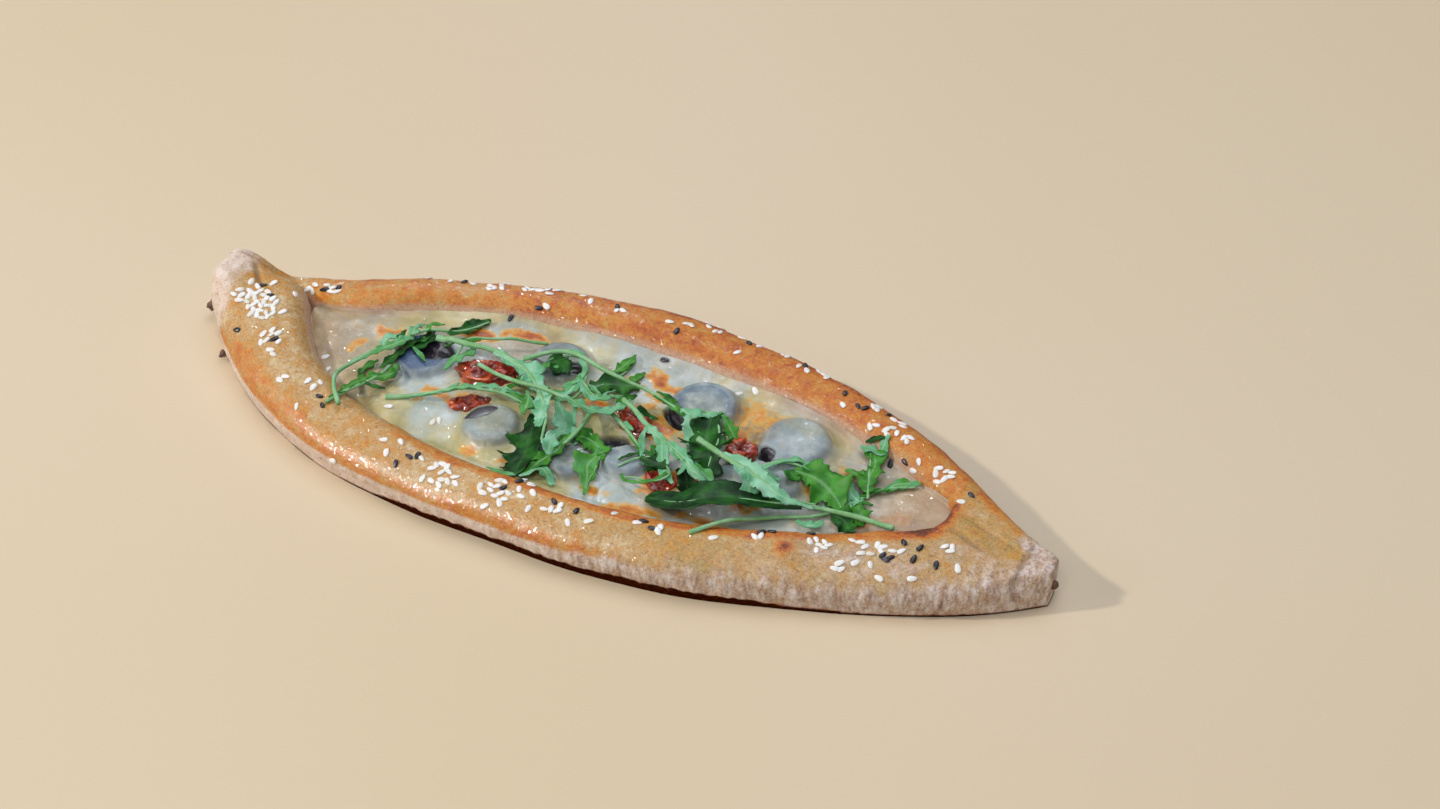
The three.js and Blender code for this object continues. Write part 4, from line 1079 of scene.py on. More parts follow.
# %% Leaves in the middle
LEAVES = [
    # thick pale stem across the left half, dark end under the others
    {"path": [(-75, -17), (-59, -10), (-43, -5), (-33, -4), (-27, -5)], "stem": (0.8, 0.5), "blades": [
        (0.75, [(-68, -14, 0.5), (-57, -9, 1.0), (-49, -6, 1.5), (-43, -3, 1.5), (-36, -2, 1.3),
                (-31, 0, 0.4)]),
        (0.35, [(-38, -3, 0.9), (-32, -3, 1.9), (-27, -2, 0.9)]),
        (0.8, [(-55, -8, 0.6), (-54, -5, 0.3)]),
    ]},
    # broad flat green leaf with one upright lobe
    {"path": [(-17, 13), (-12, 19), (-9, 28), (-10, 35)], "stem": (0.5, 0.2), "blades": [
        (0.42, [(-13, 23, 1.0), (-11, 29, 2.2), (-10, 36, 0.3)]),
        (0.2, [(-17, 15, 2.0), (-12, 18, 3.6), (-7, 20, 3.4), (-2, 22, 1.2)]),
        (0.38, [(-5, 23, 1.6), (-3, 29, 0.4)]),
    ]},
    # bright green blade that folds and curls down over a slice
    {"path": [(-15, -7), (-7, -6), (1, -12), (4, -21), (4, -30)], "stem": (0.4, 0.15), "blades": [
        (0.36, [(-14, -9, 1.0), (-7, -9, 2.4), (-1, -11, 3.0), (3, -14, 2.0)]),
        (0.5, [(3, -13, 1.6), (1, -20, 3.5), (3, -25, 2.6), (5, -31, 0.3)]),
    ]},
    # large dark glossy half, with its pale half folded over
    {"path": [(-10, 5), (-8, -5), (-9, -16), (-13, -25), (-20, -32)], "stem": (0.9, 0.25), "blades": [
        (0.12, [(-26, -4, 2.4), (-24, -11, 4.8), (-22, -18, 6.2), (-20, -25, 5.6), (-19, -33, 1.0)]),
        (0.8, [(-17, -33, 1.0), (-14, -29, 2.0), (-11, -28, 2.4), (-6, -31, 0.4)]),
        (0.38, [(-16, -31, 0.8), (-13, -25, 2.2), (-11, -18, 2.0), (-9, -12, 0.6)]),
        (0.7, [(-18, -33, 0.7), (-23, -34, 0.9), (-28, -34, 0.3)]),
    ]},
    # curly leaf lying as a ring on a slice
    {"path": [(-34, 12), (-32, 18), (-24, 22), (-18, 16), (-17, 7), (-22, 3)],
     "stem": (0.5, 0.4), "blades": [
        (0.78, [(-31, 22, 0.4), (-26, 24, 0.8), (-22, 21, 1.0), (-19, 17, 1.2), (-20, 13, 1.3),
                (-24, 11, 0.8)]),
        (0.72, [(-19, 15, 1.2), (-20, 10, 2.0), (-21, 6, 1.7), (-23, 3, 0.8)]),
        (0.55, [(-28, 16, 0.5), (-33, 15, 1.2), (-34, 12, 1.4), (-31, 8, 1.3), (-27, 7, 1.3),
                (-21, 9, 0.4)]),
        (0.12, [(-33, 19, 1.2), (-29, 17, 3.0), (-24, 16, 2.0)]),
    ]},
    # small pale curls
    {"path": [(-17, 11), (-11, 7), (-6, 8), (-3, 13)], "stem": (0.4, 0.25), "blades": [
        (0.75, [(-19, 13, 0.5), (-16, 9, 0.9), (-12, 6, 1.3), (-8, 6, 1.5), (-5, 8, 0.5)]),
        (0.72, [(-8, 7, 0.9), (-11, 9, 1.5), (-14, 10, 0.4)]),
        (0.8, [(-7, 7, 0.7), (-8, 11, 0.8), (-7, 15, 0.3)]),
        (0.6, [(-6, 9, 0.5), (-3, 10, 0.7), (-1, 12, 0.2)]),
    ]},
    # thin stem over the third tomato
    {"path": [(-3, 3), (2, 0), (8, -4), (15, -9)], "stem": (0.8, 0.5), "blades": [
        (0.45, [(8, -5, 0.5), (12, -7, 1.0), (16, -11, 0.4)]),
        (0.78, [(4, 1, 0.4), (5, -1, 1.1), (8, -2, 0.4)]),
    ]},
]
print(len(LEAVES), "leaves in the middle")

# %% [markdown]
# ## Leaves at the left
# Two leaves stand in the left corner of the opening, one of them arched up from the near rim.
# Beside them lie three pale stems: one by the first slice, and two that run to the middle.

# %% Leaves at the left
LEAVES += [
    # grey-green leaf with thin lobes, at the left
    {"path": [(-88, -32), (-83, -19), (-80, -8), (-80, 2), (-76, 13)], "stem": (0.6, 0.4), "blades": [
        (0.35, [(-88, -30, 0.6), (-86, -25, 1.0), (-85, -20, 1.4), (-83, -15, 1.2)]),
        (0.28, [(-85, -15, 0.8), (-88, -10, 1.3), (-88, -6, 1.3), (-86, -3, 0.4)]),
        (0.38, [(-84, -13, 1.1), (-80, -12, 1.4), (-77, -8, 1.2), (-78, -4, 0.5)]),
        (0.22, [(-82, -8, 1.0), (-81, -3, 1.8), (-80, 2, 2.0), (-79, 7, 2.0), (-76, 12, 1.6)]),
        (0.2, [(-85, -18, 0.4), (-80, -17, 0.6), (-76, -15, 0.2)]),
        (0.08, [(-77, 6, 1.5), (-75, 11, 2.4), (-75, 16, 0.6)]),
        (0.6, [(-78, 6, 0.4), (-74, 4, 0.9), (-70, 1, 0.2)]),
    ]},
    # arched pale stem from the near rim, lobes up, dark broad tip at the right
    {"path": [(-83, -32), (-89, -25), (-92, -17), (-88, -6), (-82, 5), (-77, 13), (-68, 19), (-62, 30)],
     "stem": (0.8, 0.4), "blades": [
        (0.7, [(-91, -12, 0.6), (-87, -5, 1.0), (-82, 2, 1.3), (-79, 8, 1.0)]),
        (0.85, [(-85, -1, 1.0), (-86, 4, 2.2), (-84, 8, 0.6)]),
        (0.25, [(-82, 5, 0.9), (-83, 11, 0.3)]),
        (0.8, [(-79, 9, 1.2), (-81, 14, 1.6), (-81, 19, 0.4)]),
        (0.5, [(-76, 13, 1.0), (-77, 18, 0.9), (-74, 21, 0.2)]),
        (0.2, [(-70, 16, 0.9), (-67, 21, 1.8), (-65, 26, 2.0), (-62, 31, 0.3)]),
    ]},
    # thin pale stem with a small bright blade beside the first slice
    {"path": [(-38, 27), (-52, 19), (-61, 15), (-61, 9), (-60, 0)], "stem": (0.6, 0.35), "blades": [
        (0.62, [(-58, 14, 0.6), (-58, 9, 2.2), (-60, 4, 1.8), (-61, -2, 0.4)]),
        (0.45, [(-57, 16, 0.5), (-63, 13, 0.7), (-69, 12, 0.3)]),
    ]},
    # thick pale stem from the left, widening into pale lobes that hang in the middle
    {"path": [(-71, 11), (-59, 11), (-48, 12), (-36, 8), (-27, 0), (-19, -10), (-15, -21)],
     "stem": (1.1, 0.4), "blades": [
        (0.86, [(-50, 12, 1.0), (-42, 10, 2.0), (-35, 8, 3.0), (-30, 4, 2.8), (-27, 1, 1.6)]),
        (0.88, [(-27, 2, 1.6), (-23, -4, 2.5), (-21, -10, 2.1), (-19, -16, 0.8)]),
        (0.86, [(-21, 1, 1.0), (-16, -4, 3.0), (-13, -9, 3.0), (-13, -15, 1.8), (-12, -21, 2.2),
                (-11, -24, 0.5)]),
        (0.9, [(-13, -8, 1.0), (-9, -10, 1.4), (-7, -13, 0.3)]),
        (0.6, [(-31, 0, 0.6), (-29, -4, 1.8), (-29, -8, 0.5)]),
        (0.3, [(-33, 6, 0.6), (-37, 3, 1.4), (-40, 2, 0.3)]),
    ]},
    # thin pale stem over the first tomato, widening to a long curl at its end
    {"path": [(-52, 5), (-38, 1), (-26, -1), (-11, -3), (-2, 0), (1, 10)],
     "stem": (0.75, 0.4), "blades": [
        (0.82, [(-18, -2, 0.7), (-11, -3, 1.8), (-5, -2, 2.2), (-1, 2, 1.9), (1, 7, 0.8)]),
        (0.25, [(-2, 6, 0.7), (0, 10, 1.4), (1, 14, 0.4)]),
        (0.8, [(-12, -3, 0.8), (-10, -8, 0.4)]),
        (0.78, [(2, 10, 0.4), (3, 7, 0.7), (6, 7, 0.9), (9, 9, 0.4)]),
        (0.2, [(4, 9, 1.0), (7, 9, 1.0), (11, 10, 0.2)]),
    ]},
]
print(len(LEAVES), "leaves with those at the left")

# %% [markdown]
# ## Leaves over the middle
# The largest leaf crosses the whole middle and opens into a head of dark and pale lobes. A pale
# one with many small lobes and a thin curly loop lie beside it.

# %% Leaves over the middle
LEAVES += [
    # curly thin loop
    {"path": [(10, -17), (14, -12), (21, -10), (27, -15), (23, -20), (13, -20)],
     "stem": (0.35, 0.3), "blades": [
        (0.2, [(9, -15, 0.4), (11, -12, 0.7), (15, -9, 0.8), (19, -9, 0.5)]),
        (0.45, [(12, -19, 0.4), (15, -22, 0.5), (20, -22, 0.6), (24, -19, 0.6), (26, -15, 0.5)]),
        (0.15, [(15, -11, 0.9), (19, -12, 2.0), (23, -12, 1.4), (25, -11, 0.4)]),
    ]},
    # long stem with a large head of several lobes
    {"path": [(-39, 12), (-27, 20), (-9, 16), (5, 16), (17, 13), (28, 14), (35, 5), (37, -9)],
     "stem": (0.85, 0.3), "blades": [
        (0.3, [(7, 15, 0.4), (12, 14, 1.1), (17, 12, 1.2), (20, 11, 0.4)]),
        (0.25, [(7, 17, 0.4), (11, 17, 0.9), (15, 16, 0.3)]),
        (0.88, [(18, 13, 1.0), (22, 11, 3.0), (25, 6, 1.6), (25, 3, 0.4)]),
        (0.88, [(21, 12, 1.5), (26, 13, 1.8), (32, 16, 0.7)]),
        (0.55, [(26, 10, 1.0), (28, 8, 1.6), (30, 6, 0.5)]),
        (0.14, [(29, 14, 2.7), (30, 7, 5.8), (33, 0, 5.8), (37, -6, 3.6), (38, -11, 0.6)]),
        (0.02, [(29, -8, 2.0), (32, -13, 4.5), (35, -18, 3.0), (36, -20, 0.6)]),
        (0.5, [(30, 16, 0.6), (34, 13, 1.8), (38, 10, 1.8), (43, 8, 0.4)]),
    ]},
    # pale leaf with many small lobes
    {"path": [(0, 7), (6, 4), (16, -2), (26, -8), (35, -13), (41, -14)], "stem": (0.85, 0.3), "blades": [
        (0.82, [(5, 4, 0.5), (16, -2, 1.3), (22, -5, 1.8), (28, -8, 2.0), (34, -12, 1.6),
                (41, -15, 0.5)]),
        (0.8, [(13, 1, 0.6), (12, -3, 0.8), (14, -8, 1.0), (17, -13, 0.2)]),
        (0.84, [(19, -3, 1.4), (21, -8, 2.3), (24, -13, 1.8), (29, -17, 0.4)]),
        (0.8, [(26, -8, 0.6), (30, -6, 0.7), (33, -7, 0.7), (36, -9, 0.2)]),
        (0.7, [(24, -6, 0.8), (28, -10, 0.4)]),
        (0.66, [(33, -11, 1.0), (37, -11, 2.2), (41, -12, 1.0)]),
        (0.7, [(30, -9, 0.9), (31, -12, 0.8), (30, -15, 0.3)]),
        (0.25, [(17, -6, 0.8), (19, -10, 1.8), (18, -14, 0.6)]),
    ]},
]
print(len(LEAVES), "leaves with those over the middle")

# %% [markdown]
# ## Leaves at the right
# The right end has the broadest blades: a bright green one with a folded edge, a long dark one
# that isn't torn at all, a lobe that leans on the far rim, and pale stems over and under them.

# %% Leaves at the right
LEAVES += [
    # long pale stem on the near rim, grey-green blade at the far right
    {"path": [(44, -36), (53, -25), (64, -15), (74, -10), (81, -3), (89, 10), (98, 16)],
     "stem": (0.8, 0.35), "blades": [
        (0.8, [(70, -14, 0.5), (75, -14, 1.3), (78, -11, 0.5)]),
        (0.9, [(77, -7, 0.8), (74, -3, 0.2)]),
        (0.82, [(78, -6, 0.8), (82, -2, 1.2), (85, 3, 0.9)]),
        (0.2, [(79, -7, 1.5), (84, -8, 3.2), (88, -12, 0.6)]),
        (0.78, [(84, 2, 1.2), (81, 4, 1.8), (79, 8, 0.6)]),
        (0.34, [(84, 1, 1.6), (87, -3, 2.5), (89, -7, 0.6)]),
        (0.35, [(84, 2, 0.8), (89, 2, 0.3)]),
        (0.42, [(84, 4, 0.8), (87, 8, 1.3), (91, 11, 0.7)]),
        (0.62, [(90, 10, 0.8), (92, 14, 1.8), (95, 16, 1.5), (99, 18, 0.3)]),
    ]},
    # lobe that stands up against the far rim
    {"path": [(87, 3), (84, 11), (81, 20), (78, 28)], "stem": (0.5, 0.3), "blades": [
        (0.42, [(86, 5, 1.8), (84, 12, 2.8), (83, 19, 2.7), (80, 25, 2.2)]),
        (0.5, [(85, 9, 1.0), (80, 12, 1.9), (75, 14, 0.4)]),
        (0.8, [(75, 26, 1.0), (78, 26, 2.6), (82, 26, 2.2), (83, 30, 0.6)]),
        (0.05, [(76, 28, 0.5), (79, 29, 1.3), (82, 29, 0.5)]),
        (0.7, [(81, 24, 1.1), (85, 22, 0.3)]),
    ]},
    # bright green broad blade with a pale folded edge
    {"path": [(49, 3), (55, 6), (63, 7), (73, 4), (82, 0)], "stem": (0.5, 0.25), "blades": [
        (0.78, [(49, 1, 0.5), (54, 5, 1.1), (59, 8, 1.5), (63, 9, 1.5), (66, 7, 1.5), (73, 8, 0.4)]),
        (0.4, [(61, 4, 1.6), (67, 4, 4.0), (73, 2, 6.0), (79, -2, 3.0), (82, -5, 0.6)]),
        (0.36, [(66, 7, 1.0), (71, 8, 1.6), (79, 8, 0.9)]),
        (0.25, [(61, 4, 0.6), (62, 1, 2.3), (65, 0, 0.6)]),
    ]},
    # long dark smooth blade, its stem to the right
    {"path": [(99, -5), (85, -6), (72, -8), (61, -13), (50, -19), (38, -24), (23, -24)],
     "stem": (0.9, 0.25), "smooth": True, "blades": [
        (0.1, [(23, -24, 2.4), (26, -24, 4.6), (32, -25, 5.4), (38, -24, 6.2), (44, -21, 6.6),
                (50, -18, 5.8),
               (57, -15, 4.2), (64, -12, 2.4), (70, -10, 0.8)]),
    ]},
    # pale thick stem with broad pale lobes
    {"path": [(30, 0), (38, -3), (48, -7), (58, -10), (66, -11), (74, -8)],
     "stem": (1.1, 0.3), "blades": [
        (0.9, [(40, -3, 0.9), (47, -6, 2.2), (52, -7, 3.4), (57, -10, 3.4), (63, -12, 2.2),
                (74, -10, 0.3)]),
        (0.85, [(51, -6, 1.4), (53, -11, 3.0), (54, -16, 1.2)]),
        (0.88, [(55, -5, 1.4), (58, -4, 1.0), (60, -3, 0.3)]),
    ]},
]
LEAF_THICKNESS = 0.8
print(len(LEAVES), "leaves of", sum(len(leaf["blades"]) for leaf in LEAVES), "ribbons")

# %% [markdown]
# ## A smooth path
# The few points of a path are joined by a Catmull-Rom spline, which passes through all of
# them, and then spaced evenly along its length. The same works for a ribbon, whose half width
# is just a third number.

# %% Splines
ROUGH_STEPS, FEWEST_POINTS = 40, 8


def spline(path, spacing):
    knots = np.array(path, float)
    knots = np.vstack([2 * knots[0] - knots[1], knots, 2 * knots[-1] - knots[-2]])
    t = np.linspace(0, 1, ROUGH_STEPS, endpoint=False)[:, None]
    rough = []
    for a, b, c, d in zip(knots, knots[1:], knots[2:], knots[3:]):
        bend = (2 * a - 5 * b + 4 * c - d) * t**2 + (3 * b - a - 3 * c + d) * t**3
        rough.append(0.5 * (2 * b + (c - a) * t + bend))
    rough = np.vstack([*rough, knots[-2:-1]])
    travelled = np.concatenate([[0], np.cumsum(np.linalg.norm(np.diff(rough[:, :2], axis=0), axis=1))])
    even = np.linspace(0, travelled[-1], max(FEWEST_POINTS, int(travelled[-1] / spacing)))
    return np.stack([np.interp(even, travelled, column) for column in rough.T], 1), even


STEM_STEP = 0.6
plan, travelled = spline(LEAVES[0]["path"], STEM_STEP)
print(f"the first leaf is {travelled[-1]:.0f} mm long")

# %% [markdown]
# ## Where a leaf lies
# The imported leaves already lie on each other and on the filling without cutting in, so
# the height of a stem is read from its own node by a ray from above. A lobe starts at the height
# of its stem and sinks towards the filling the further it reaches, but never into it.

# %% Heights of stems and lobes
DOWN = Vector((0, 0, -1))
RAY_TOP, ABOVE_ALL = 0.1, 60
STEM_WINDOW, BLADE_WINDOW = 9, 7
CLEAR, REACH_START, REACH_END = 0.9, 1, 9


def tree_of(thing):
    mesh = thing.data
    return BVHTree.FromPolygons([v.co for v in mesh.vertices], [p.vertices for p in mesh.polygons])


def smoothed(values, window):
    padded = np.pad(values, window // 2, mode="edge")
    return np.convolve(padded, np.ones(window) / window, mode="valid")


def stem_heights(plan, node):
    tree = tree_of(nodes_loaded[node])
    heights, last = [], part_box(node)[1].z
    for x, y, _ in to_frame(np.column_stack([plan, 0 * plan[:, 0]])):
        hit = tree.ray_cast(Vector((x, y, RAY_TOP)), DOWN)[0]
        last = (hit or tree.find_nearest(Vector((x, y, last)))[0]).z
        heights.append(last / MM - SHIFT[2] - LEAF_THICKNESS / 2)
    return smoothed(heights, STEM_WINDOW)


grounds = [tree_of(piece) for piece in (bread, cheese)]


def ground_below(x, y):
    start = Vector(to_frame((x, y, ABOVE_ALL)))
    hits = [hit for hit in (tree.ray_cast(start, DOWN) for tree in grounds) if hit[0]]
    return max(hits, key=lambda hit: hit[0].z)[:2] if hits else None


def blade_heights(plan, spine):
    gaps = np.linalg.norm(plan[:, None, :2] - spine[None, :, :2], axis=2)
    ground = np.array([to_drawing(ground_below(x, y)[0])[2] for x, y in plan[:, :2]]) + CLEAR
    height = blend(spine[gaps.argmin(1), 2], ground, ease(gaps.min(1), REACH_START, REACH_END))
    return smoothed(np.maximum(height, ground), BLADE_WINDOW)


print("first stem lies at", stem_heights(plan, "rocket_1")[[0, 20, -1]].round(1), "mm")

# %% [markdown]
# ## One lobe
# A ribbon becomes a thin closed sheet. Its two edges are torn by two sizes of noise, each on
# its own side, and lean forward as lobes do. Across, the sheet is cupped and tilted a little,
# and along its edges it ripples, because the edge of a young leaf grows faster than its middle.

# %% Blades
BLADE_COLUMNS, BLADE_SHEET, BLADE_STEP = 11, 0.32, 0.5
THINNEST_HALF, RIB_HALF = 0.2, 0.3
RAGGED, SMOOTH = 0.45, 0.06
LIFT, TILT, CUP, RIPPLE, LEAN = 0.2, 0.35, 0.05, 0.3, 0.35
VEIN_SPACING, VEIN_SLANT = 2.6, 0.8


def unit(vectors):
    return vectors / np.maximum(np.linalg.norm(vectors, axis=-1, keepdims=True), 1e-9)


def ahead_and_aside(path):
    along = unit(np.gradient(path, axis=0))
    return along, unit(np.stack([-along[:, 1], along[:, 0], 0 * along[:, 0]], 1))


def slab(points, thickness):
    """A thin closed sheet from a grid of points: the upper face, the lower face and the rim."""
    rows, columns = points.shape[:2]
    normal = unit(np.cross(np.gradient(points, axis=1), np.gradient(points, axis=0)))
    normal *= np.where(normal[..., 2:] < 0, -1, 1)
    count = rows * columns
    sheet = np.vstack([(points + side * normal * thickness / 2).reshape(-1, 3) for side in (1, -1)])
    faces = grid_faces(rows, columns)
    corner = np.arange(count).reshape(rows, columns)
    border = np.concatenate([corner[0], corner[1:, -1], corner[-1, -2::-1], corner[-2:0:-1, 0]])
    rim = np.stack([border, np.roll(border, -1), np.roll(border, -1) + count, border + count], 1)
    return sheet, np.vstack([faces[:, ::-1], faces + count, rim])


def build_blade(ribbon, spine, seed, ragged):
    plan, travelled = spline(ribbon, BLADE_STEP)
    middle = np.column_stack([plan[:, :2], blade_heights(plan, spine)])
    along, across = ahead_and_aside(middle)
    half = np.maximum(plan[:, 2], THINNEST_HALF)
    torn_left, torn_right = (
        lumps(middle, 4, 1, seed + side) + 0.6 * lumps(middle, 1.5, 2, seed + 5 + side) for side in (0, 1)
    )
    u = np.linspace(-1, 1, BLADE_COLUMNS)[None, :]
    torn = np.where(u > 0, torn_left[:, None], torn_right[:, None])
    reach = u * half[:, None] * (1 + ragged * 1.5 * torn * np.abs(u))
    out = np.abs(reach)
    ripple_length = 3.2 + 0.9 * half.max()
    wave = np.sin(2 * math.pi * travelled[:, None] / ripple_length + 1.3 * seed + np.sign(u))
    sheet = middle[:, None] + across[:, None] * reach[..., None] + along[:, None] * (LEAN * out)[..., None]
    sheet[..., 2] += LIFT + TILT * math.sin(2.4 * seed) * reach + CUP * reach**2
    sheet[..., 2] += RIPPLE * ragged / RAGGED * out * wave * np.abs(u)
    points, faces = slab(sheet, BLADE_SHEET)
    vein = np.cos(2 * math.pi * (travelled[:, None] - VEIN_SLANT * out) / VEIN_SPACING) ** 12
    midrib = np.exp(-((reach / RIB_HALF) ** 2)) * (half > 1.2)[:, None]
    rib = np.maximum(midrib, 0.35 * vein * (out > 0.4))
    return points, faces, np.tile(rib.ravel(), 2)


ribbon = LEAVES[0]["blades"][0][1]
spine = np.column_stack([plan, stem_heights(plan, "rocket_1")])
points, faces, rib = build_blade(ribbon, spine, 1, RAGGED)
print("one lobe:", len(points), "points,", len(faces), "faces")

# %% [markdown]
# ## Stem and leaf
# The stem is a tube that thins out. It and all lobes of a leaf make one mesh, painted with the
# tone and with the places of ribs and veins.

# %% Leaves
STEM_SIDES, STEM_TONE = 10, 0.6


def tube(spine, radius):
    along, across = ahead_and_aside(spine)
    upright = np.cross(along, across)
    turn = np.linspace(0, 2 * math.pi, STEM_SIDES, endpoint=False)[None, :, None]
    ring = np.cos(turn) * across[:, None] + np.sin(turn) * upright[:, None]
    return (spine[:, None] + ring * radius[:, None, None]).reshape(-1, 3), capped(len(spine), STEM_SIDES)


leaf_pieces = []
for number, leaf in enumerate(LEAVES, 1):
    plan, travelled = spline(leaf["path"], STEM_STEP)
    spine = np.column_stack([plan, stem_heights(plan, f"rocket_{number}")])
    radius = np.linspace(*leaf["stem"], len(spine)) * (1 + 0.15 * lumps(spine, 6, 1, number))
    points, faces = tube(spine, radius)
    ribs, tones = [np.ones(len(points))], [np.full(len(points), STEM_TONE)]
    parts, count = [points], len(points)
    for place, (tone, ribbon) in enumerate(leaf["blades"]):
        ragged = SMOOTH if leaf.get("smooth") else RAGGED
        points, sheet, rib = build_blade(ribbon, spine, 10 * number + place, ragged)
        faces += [[int(i) + count for i in face] for face in sheet]
        parts.append(points)
        count += len(points)
        ribs.append(rib)
        tones.append(np.full(len(points), tone))
    piece = make_piece(f"rocket_leaf_{number}", np.vstack(parts), faces, [f"rocket_{number}"])
    paint(piece, "rib", np.concatenate(ribs))
    paint(piece, "tone", np.concatenate(tones))
    leaf_pieces.append(piece)
print("leaves:", sum(len(piece.data.polygons) for piece in leaf_pieces), "faces")

# %% [markdown]
# ## Leaf material
# Each lobe has its own shade, from dark bottle green to a pale minty one for an underside. The
# stem and midrib are paler, fine veins run through the blade and a wax makes it shine softly.

# %% Leaf finish
BLADE_COLOURS = [
    (0.0, "0a2a10"), (0.15, "1a501c"), (0.32, "347c26"), (0.48, "4f9c38"),
    (0.64, "60a868"), (0.82, "72ba90"), (1.0, "9cd6b8"),
]
green = Finish("leaf", 0.5, Specular_IOR_Level=0.15)
patchy = green.span(green.spots(200, 3), 0.3, 0.7, -0.12, 0.12)
tone = green.maths("ADD", green.painted("tone"), patchy)
blade_colour = green.ramp(tone, *BLADE_COLOURS)
stem_colour = green.ramp(green.spots(260, 2), (0.35, "8fc48a"), (0.65, "b4e0b8"))
pale_rib = green.span(green.painted("tone"), 0.1, 0.75, 0.05, 0.7)
rib = green.span(green.painted("rib"), 0.2, 0.95)
green.set(Base_Color=green.mix(green.maths("MULTIPLY", rib, pale_rib), blade_colour, stem_colour))
green.set(Normal=green.bumps(green.spots(700, 3), 0.5, 0.25))
green.dress(*leaf_pieces)
print("leaf nodes:", len(green.tree.nodes))

# %% [markdown]
# ## Seeds
# Sesame and black seeds are small drops, flat and pointed at one end. They were strewn by hand
# in loose clusters, so a cluster is a place, a spread in millimetres, and how many white and how
# many black seeds it has. Each seed is dropped straight down on what lies below, pressed in a
# little and turned at random from a fixed seed number. All white seeds are one mesh and all
# black ones another.

# %% Where the seeds lie
CLUSTERS = [
    # the knob and the fold behind it
    (-131, 0, 5, 13, 1), (-129, -5, 5, 12, 1), (-138, -2, 4, 8, 1), (-137, 5, 3, 2, 1),
    (-133, 9, 1, 1, 0), (-124, 8, 1, 1, 0), (-122, -3, 1, 1, 0), (-139, -14, 1, 1, 0),
    (-133, -14, 1, 0, 1), (-119, -15, 4.5, 7, 1), (-115, -21, 2, 2, 0), (-107, -27, 3, 2, 0),
    (-95, -26, 3.5, 3, 0), (-92, -30, 1, 0, 1), (-96, -36, 1, 1, 0), (-88, -33, 1, 0, 1),
    (-77, -47, 1, 1, 0), (-105, -6, 1, 1, 0), (-100, -12, 1, 1, 0),
    # the near rim
    (-62, -39, 1, 1, 0), (-57, -38, 1, 1, 0), (-58, -44, 1, 1, 0), (-54, -45, 1, 0, 1),
    (-49, -42, 3, 1, 2), (-39, -44, 7, 13, 0), (-20, -42, 3, 3, 1), (-17, -45, 7.5, 12, 0),
    (-13, -35, 4.5, 5, 1), (-8, -41, 1, 1, 0), (-8, -47, 2, 1, 0), (1, -43, 4, 4, 1), (8, -42, 1, 0, 1),
    (7, -47, 1, 1, 0), (14, -44, 1, 1, 0), (19, -38, 1, 1, 0), (28, -38, 1.5, 1, 1),
    (34, -38, 2.5, 2, 1), (51, -34, 1, 1, 0), (65, -29, 2.5, 2, 0), (66, -26, 3, 0, 2),
    (78, -20, 1, 0, 1), (82, -24, 3.5, 7, 0), (90, -17, 1, 1, 0), (94, -18, 1.5, 2, 0),
    (99, -18, 2.5, 3, 0), (90, -29, 2, 3, 0), (95, -26, 1, 1, 0), (99, -24, 1, 1, 0),
    (102, -20, 3, 0, 3), (105, -17, 2, 2, 0), (105, -12, 1, 0, 1), (111, -13, 1, 0, 1),
    (110, -18, 1, 0, 1), (104, -27, 1, 1, 0), (112, -23, 1, 1, 0), (118, -16, 1, 0, 1),
    (123, -15, 1, 1, 0), (119, -9, 2, 3, 0), (96, -21, 2, 2, 0),
    # the far rim
    (-126, 21, 3, 3, 0), (-119, 22, 3, 4, 2), (-91, 40, 1.5, 2, 0), (-82, 41, 1, 1, 0),
    (-78, 43, 1, 0, 1), (-75, 43, 1, 1, 0), (-69, 43, 2, 2, 0), (-66, 46, 4, 4, 0),
    (-57, 47, 2.5, 3, 0), (-50, 49, 4, 5, 0), (-36, 51, 3, 2, 0), (-25, 51, 1, 0, 1),
    (-22, 50, 2, 2, 0), (-5, 51, 1, 1, 0), (1, 53, 1.5, 2, 0), (-1, 48, 1, 0, 1), (9, 57, 5, 5, 0),
    (18, 56, 2, 1, 0), (24, 54, 1, 0, 1), (27, 54, 1.5, 3, 0), (23, 47, 1, 1, 0), (38, 53, 3, 3, 0),
    (44, 49, 3, 2, 1), (52, 50, 3, 3, 0), (63, 43, 1, 0, 1), (64, 38, 1, 1, 0), (70, 39, 2, 0, 2),
    (74, 41, 2.5, 3, 0), (79, 39, 1, 0, 1), (83, 37, 3, 3, 0), (77, 32, 2, 2, 0), (83, 32, 2.5, 5, 0),
    (89, 31, 2.5, 4, 0), (86, 25, 1, 0, 1), (91, 24, 1, 0, 1), (95, 23, 1.5, 2, 0),
    (105, 21, 3.5, 7, 0), (117, 16, 1, 0, 1), (115, 12, 1, 1, 0),
    # the filling
    (-72, -20, 1, 1, 0), (-56, -19, 2, 2, 0), (-46, 42, 1, 1, 0), (-49, 40, 1, 0, 1),
    (-57, 35, 1, 0, 1), (-1, 38, 1, 0, 1), (28, 35, 1, 1, 0), (33, 38, 1, 1, 0),
]
WHITE, BLACK = 3, 4
print(sum(c[WHITE] for c in CLUSTERS), "white and", sum(c[BLACK] for c in CLUSTERS), "black seeds")

# %% [markdown]
# ## One seed, many seeds
# The drop is a ball of a few rings, drawn out to a point on one side. NumPy turns and places a
# copy for each seed, and all copies go into one mesh.

# %% Scatter
SEED_RINGS, SEED_SIDES = 9, 12
SEED_GAP, TRIES = 1.75, 40
ACROSS_SHARE = 0.75
SEED_LEAN, SMALLEST, LARGEST = 0.12, 0.85, 1.12
SEED_SEAT, SEED_FULLNESS, SEED_TAPER = 0.6, 0.85, 0.2


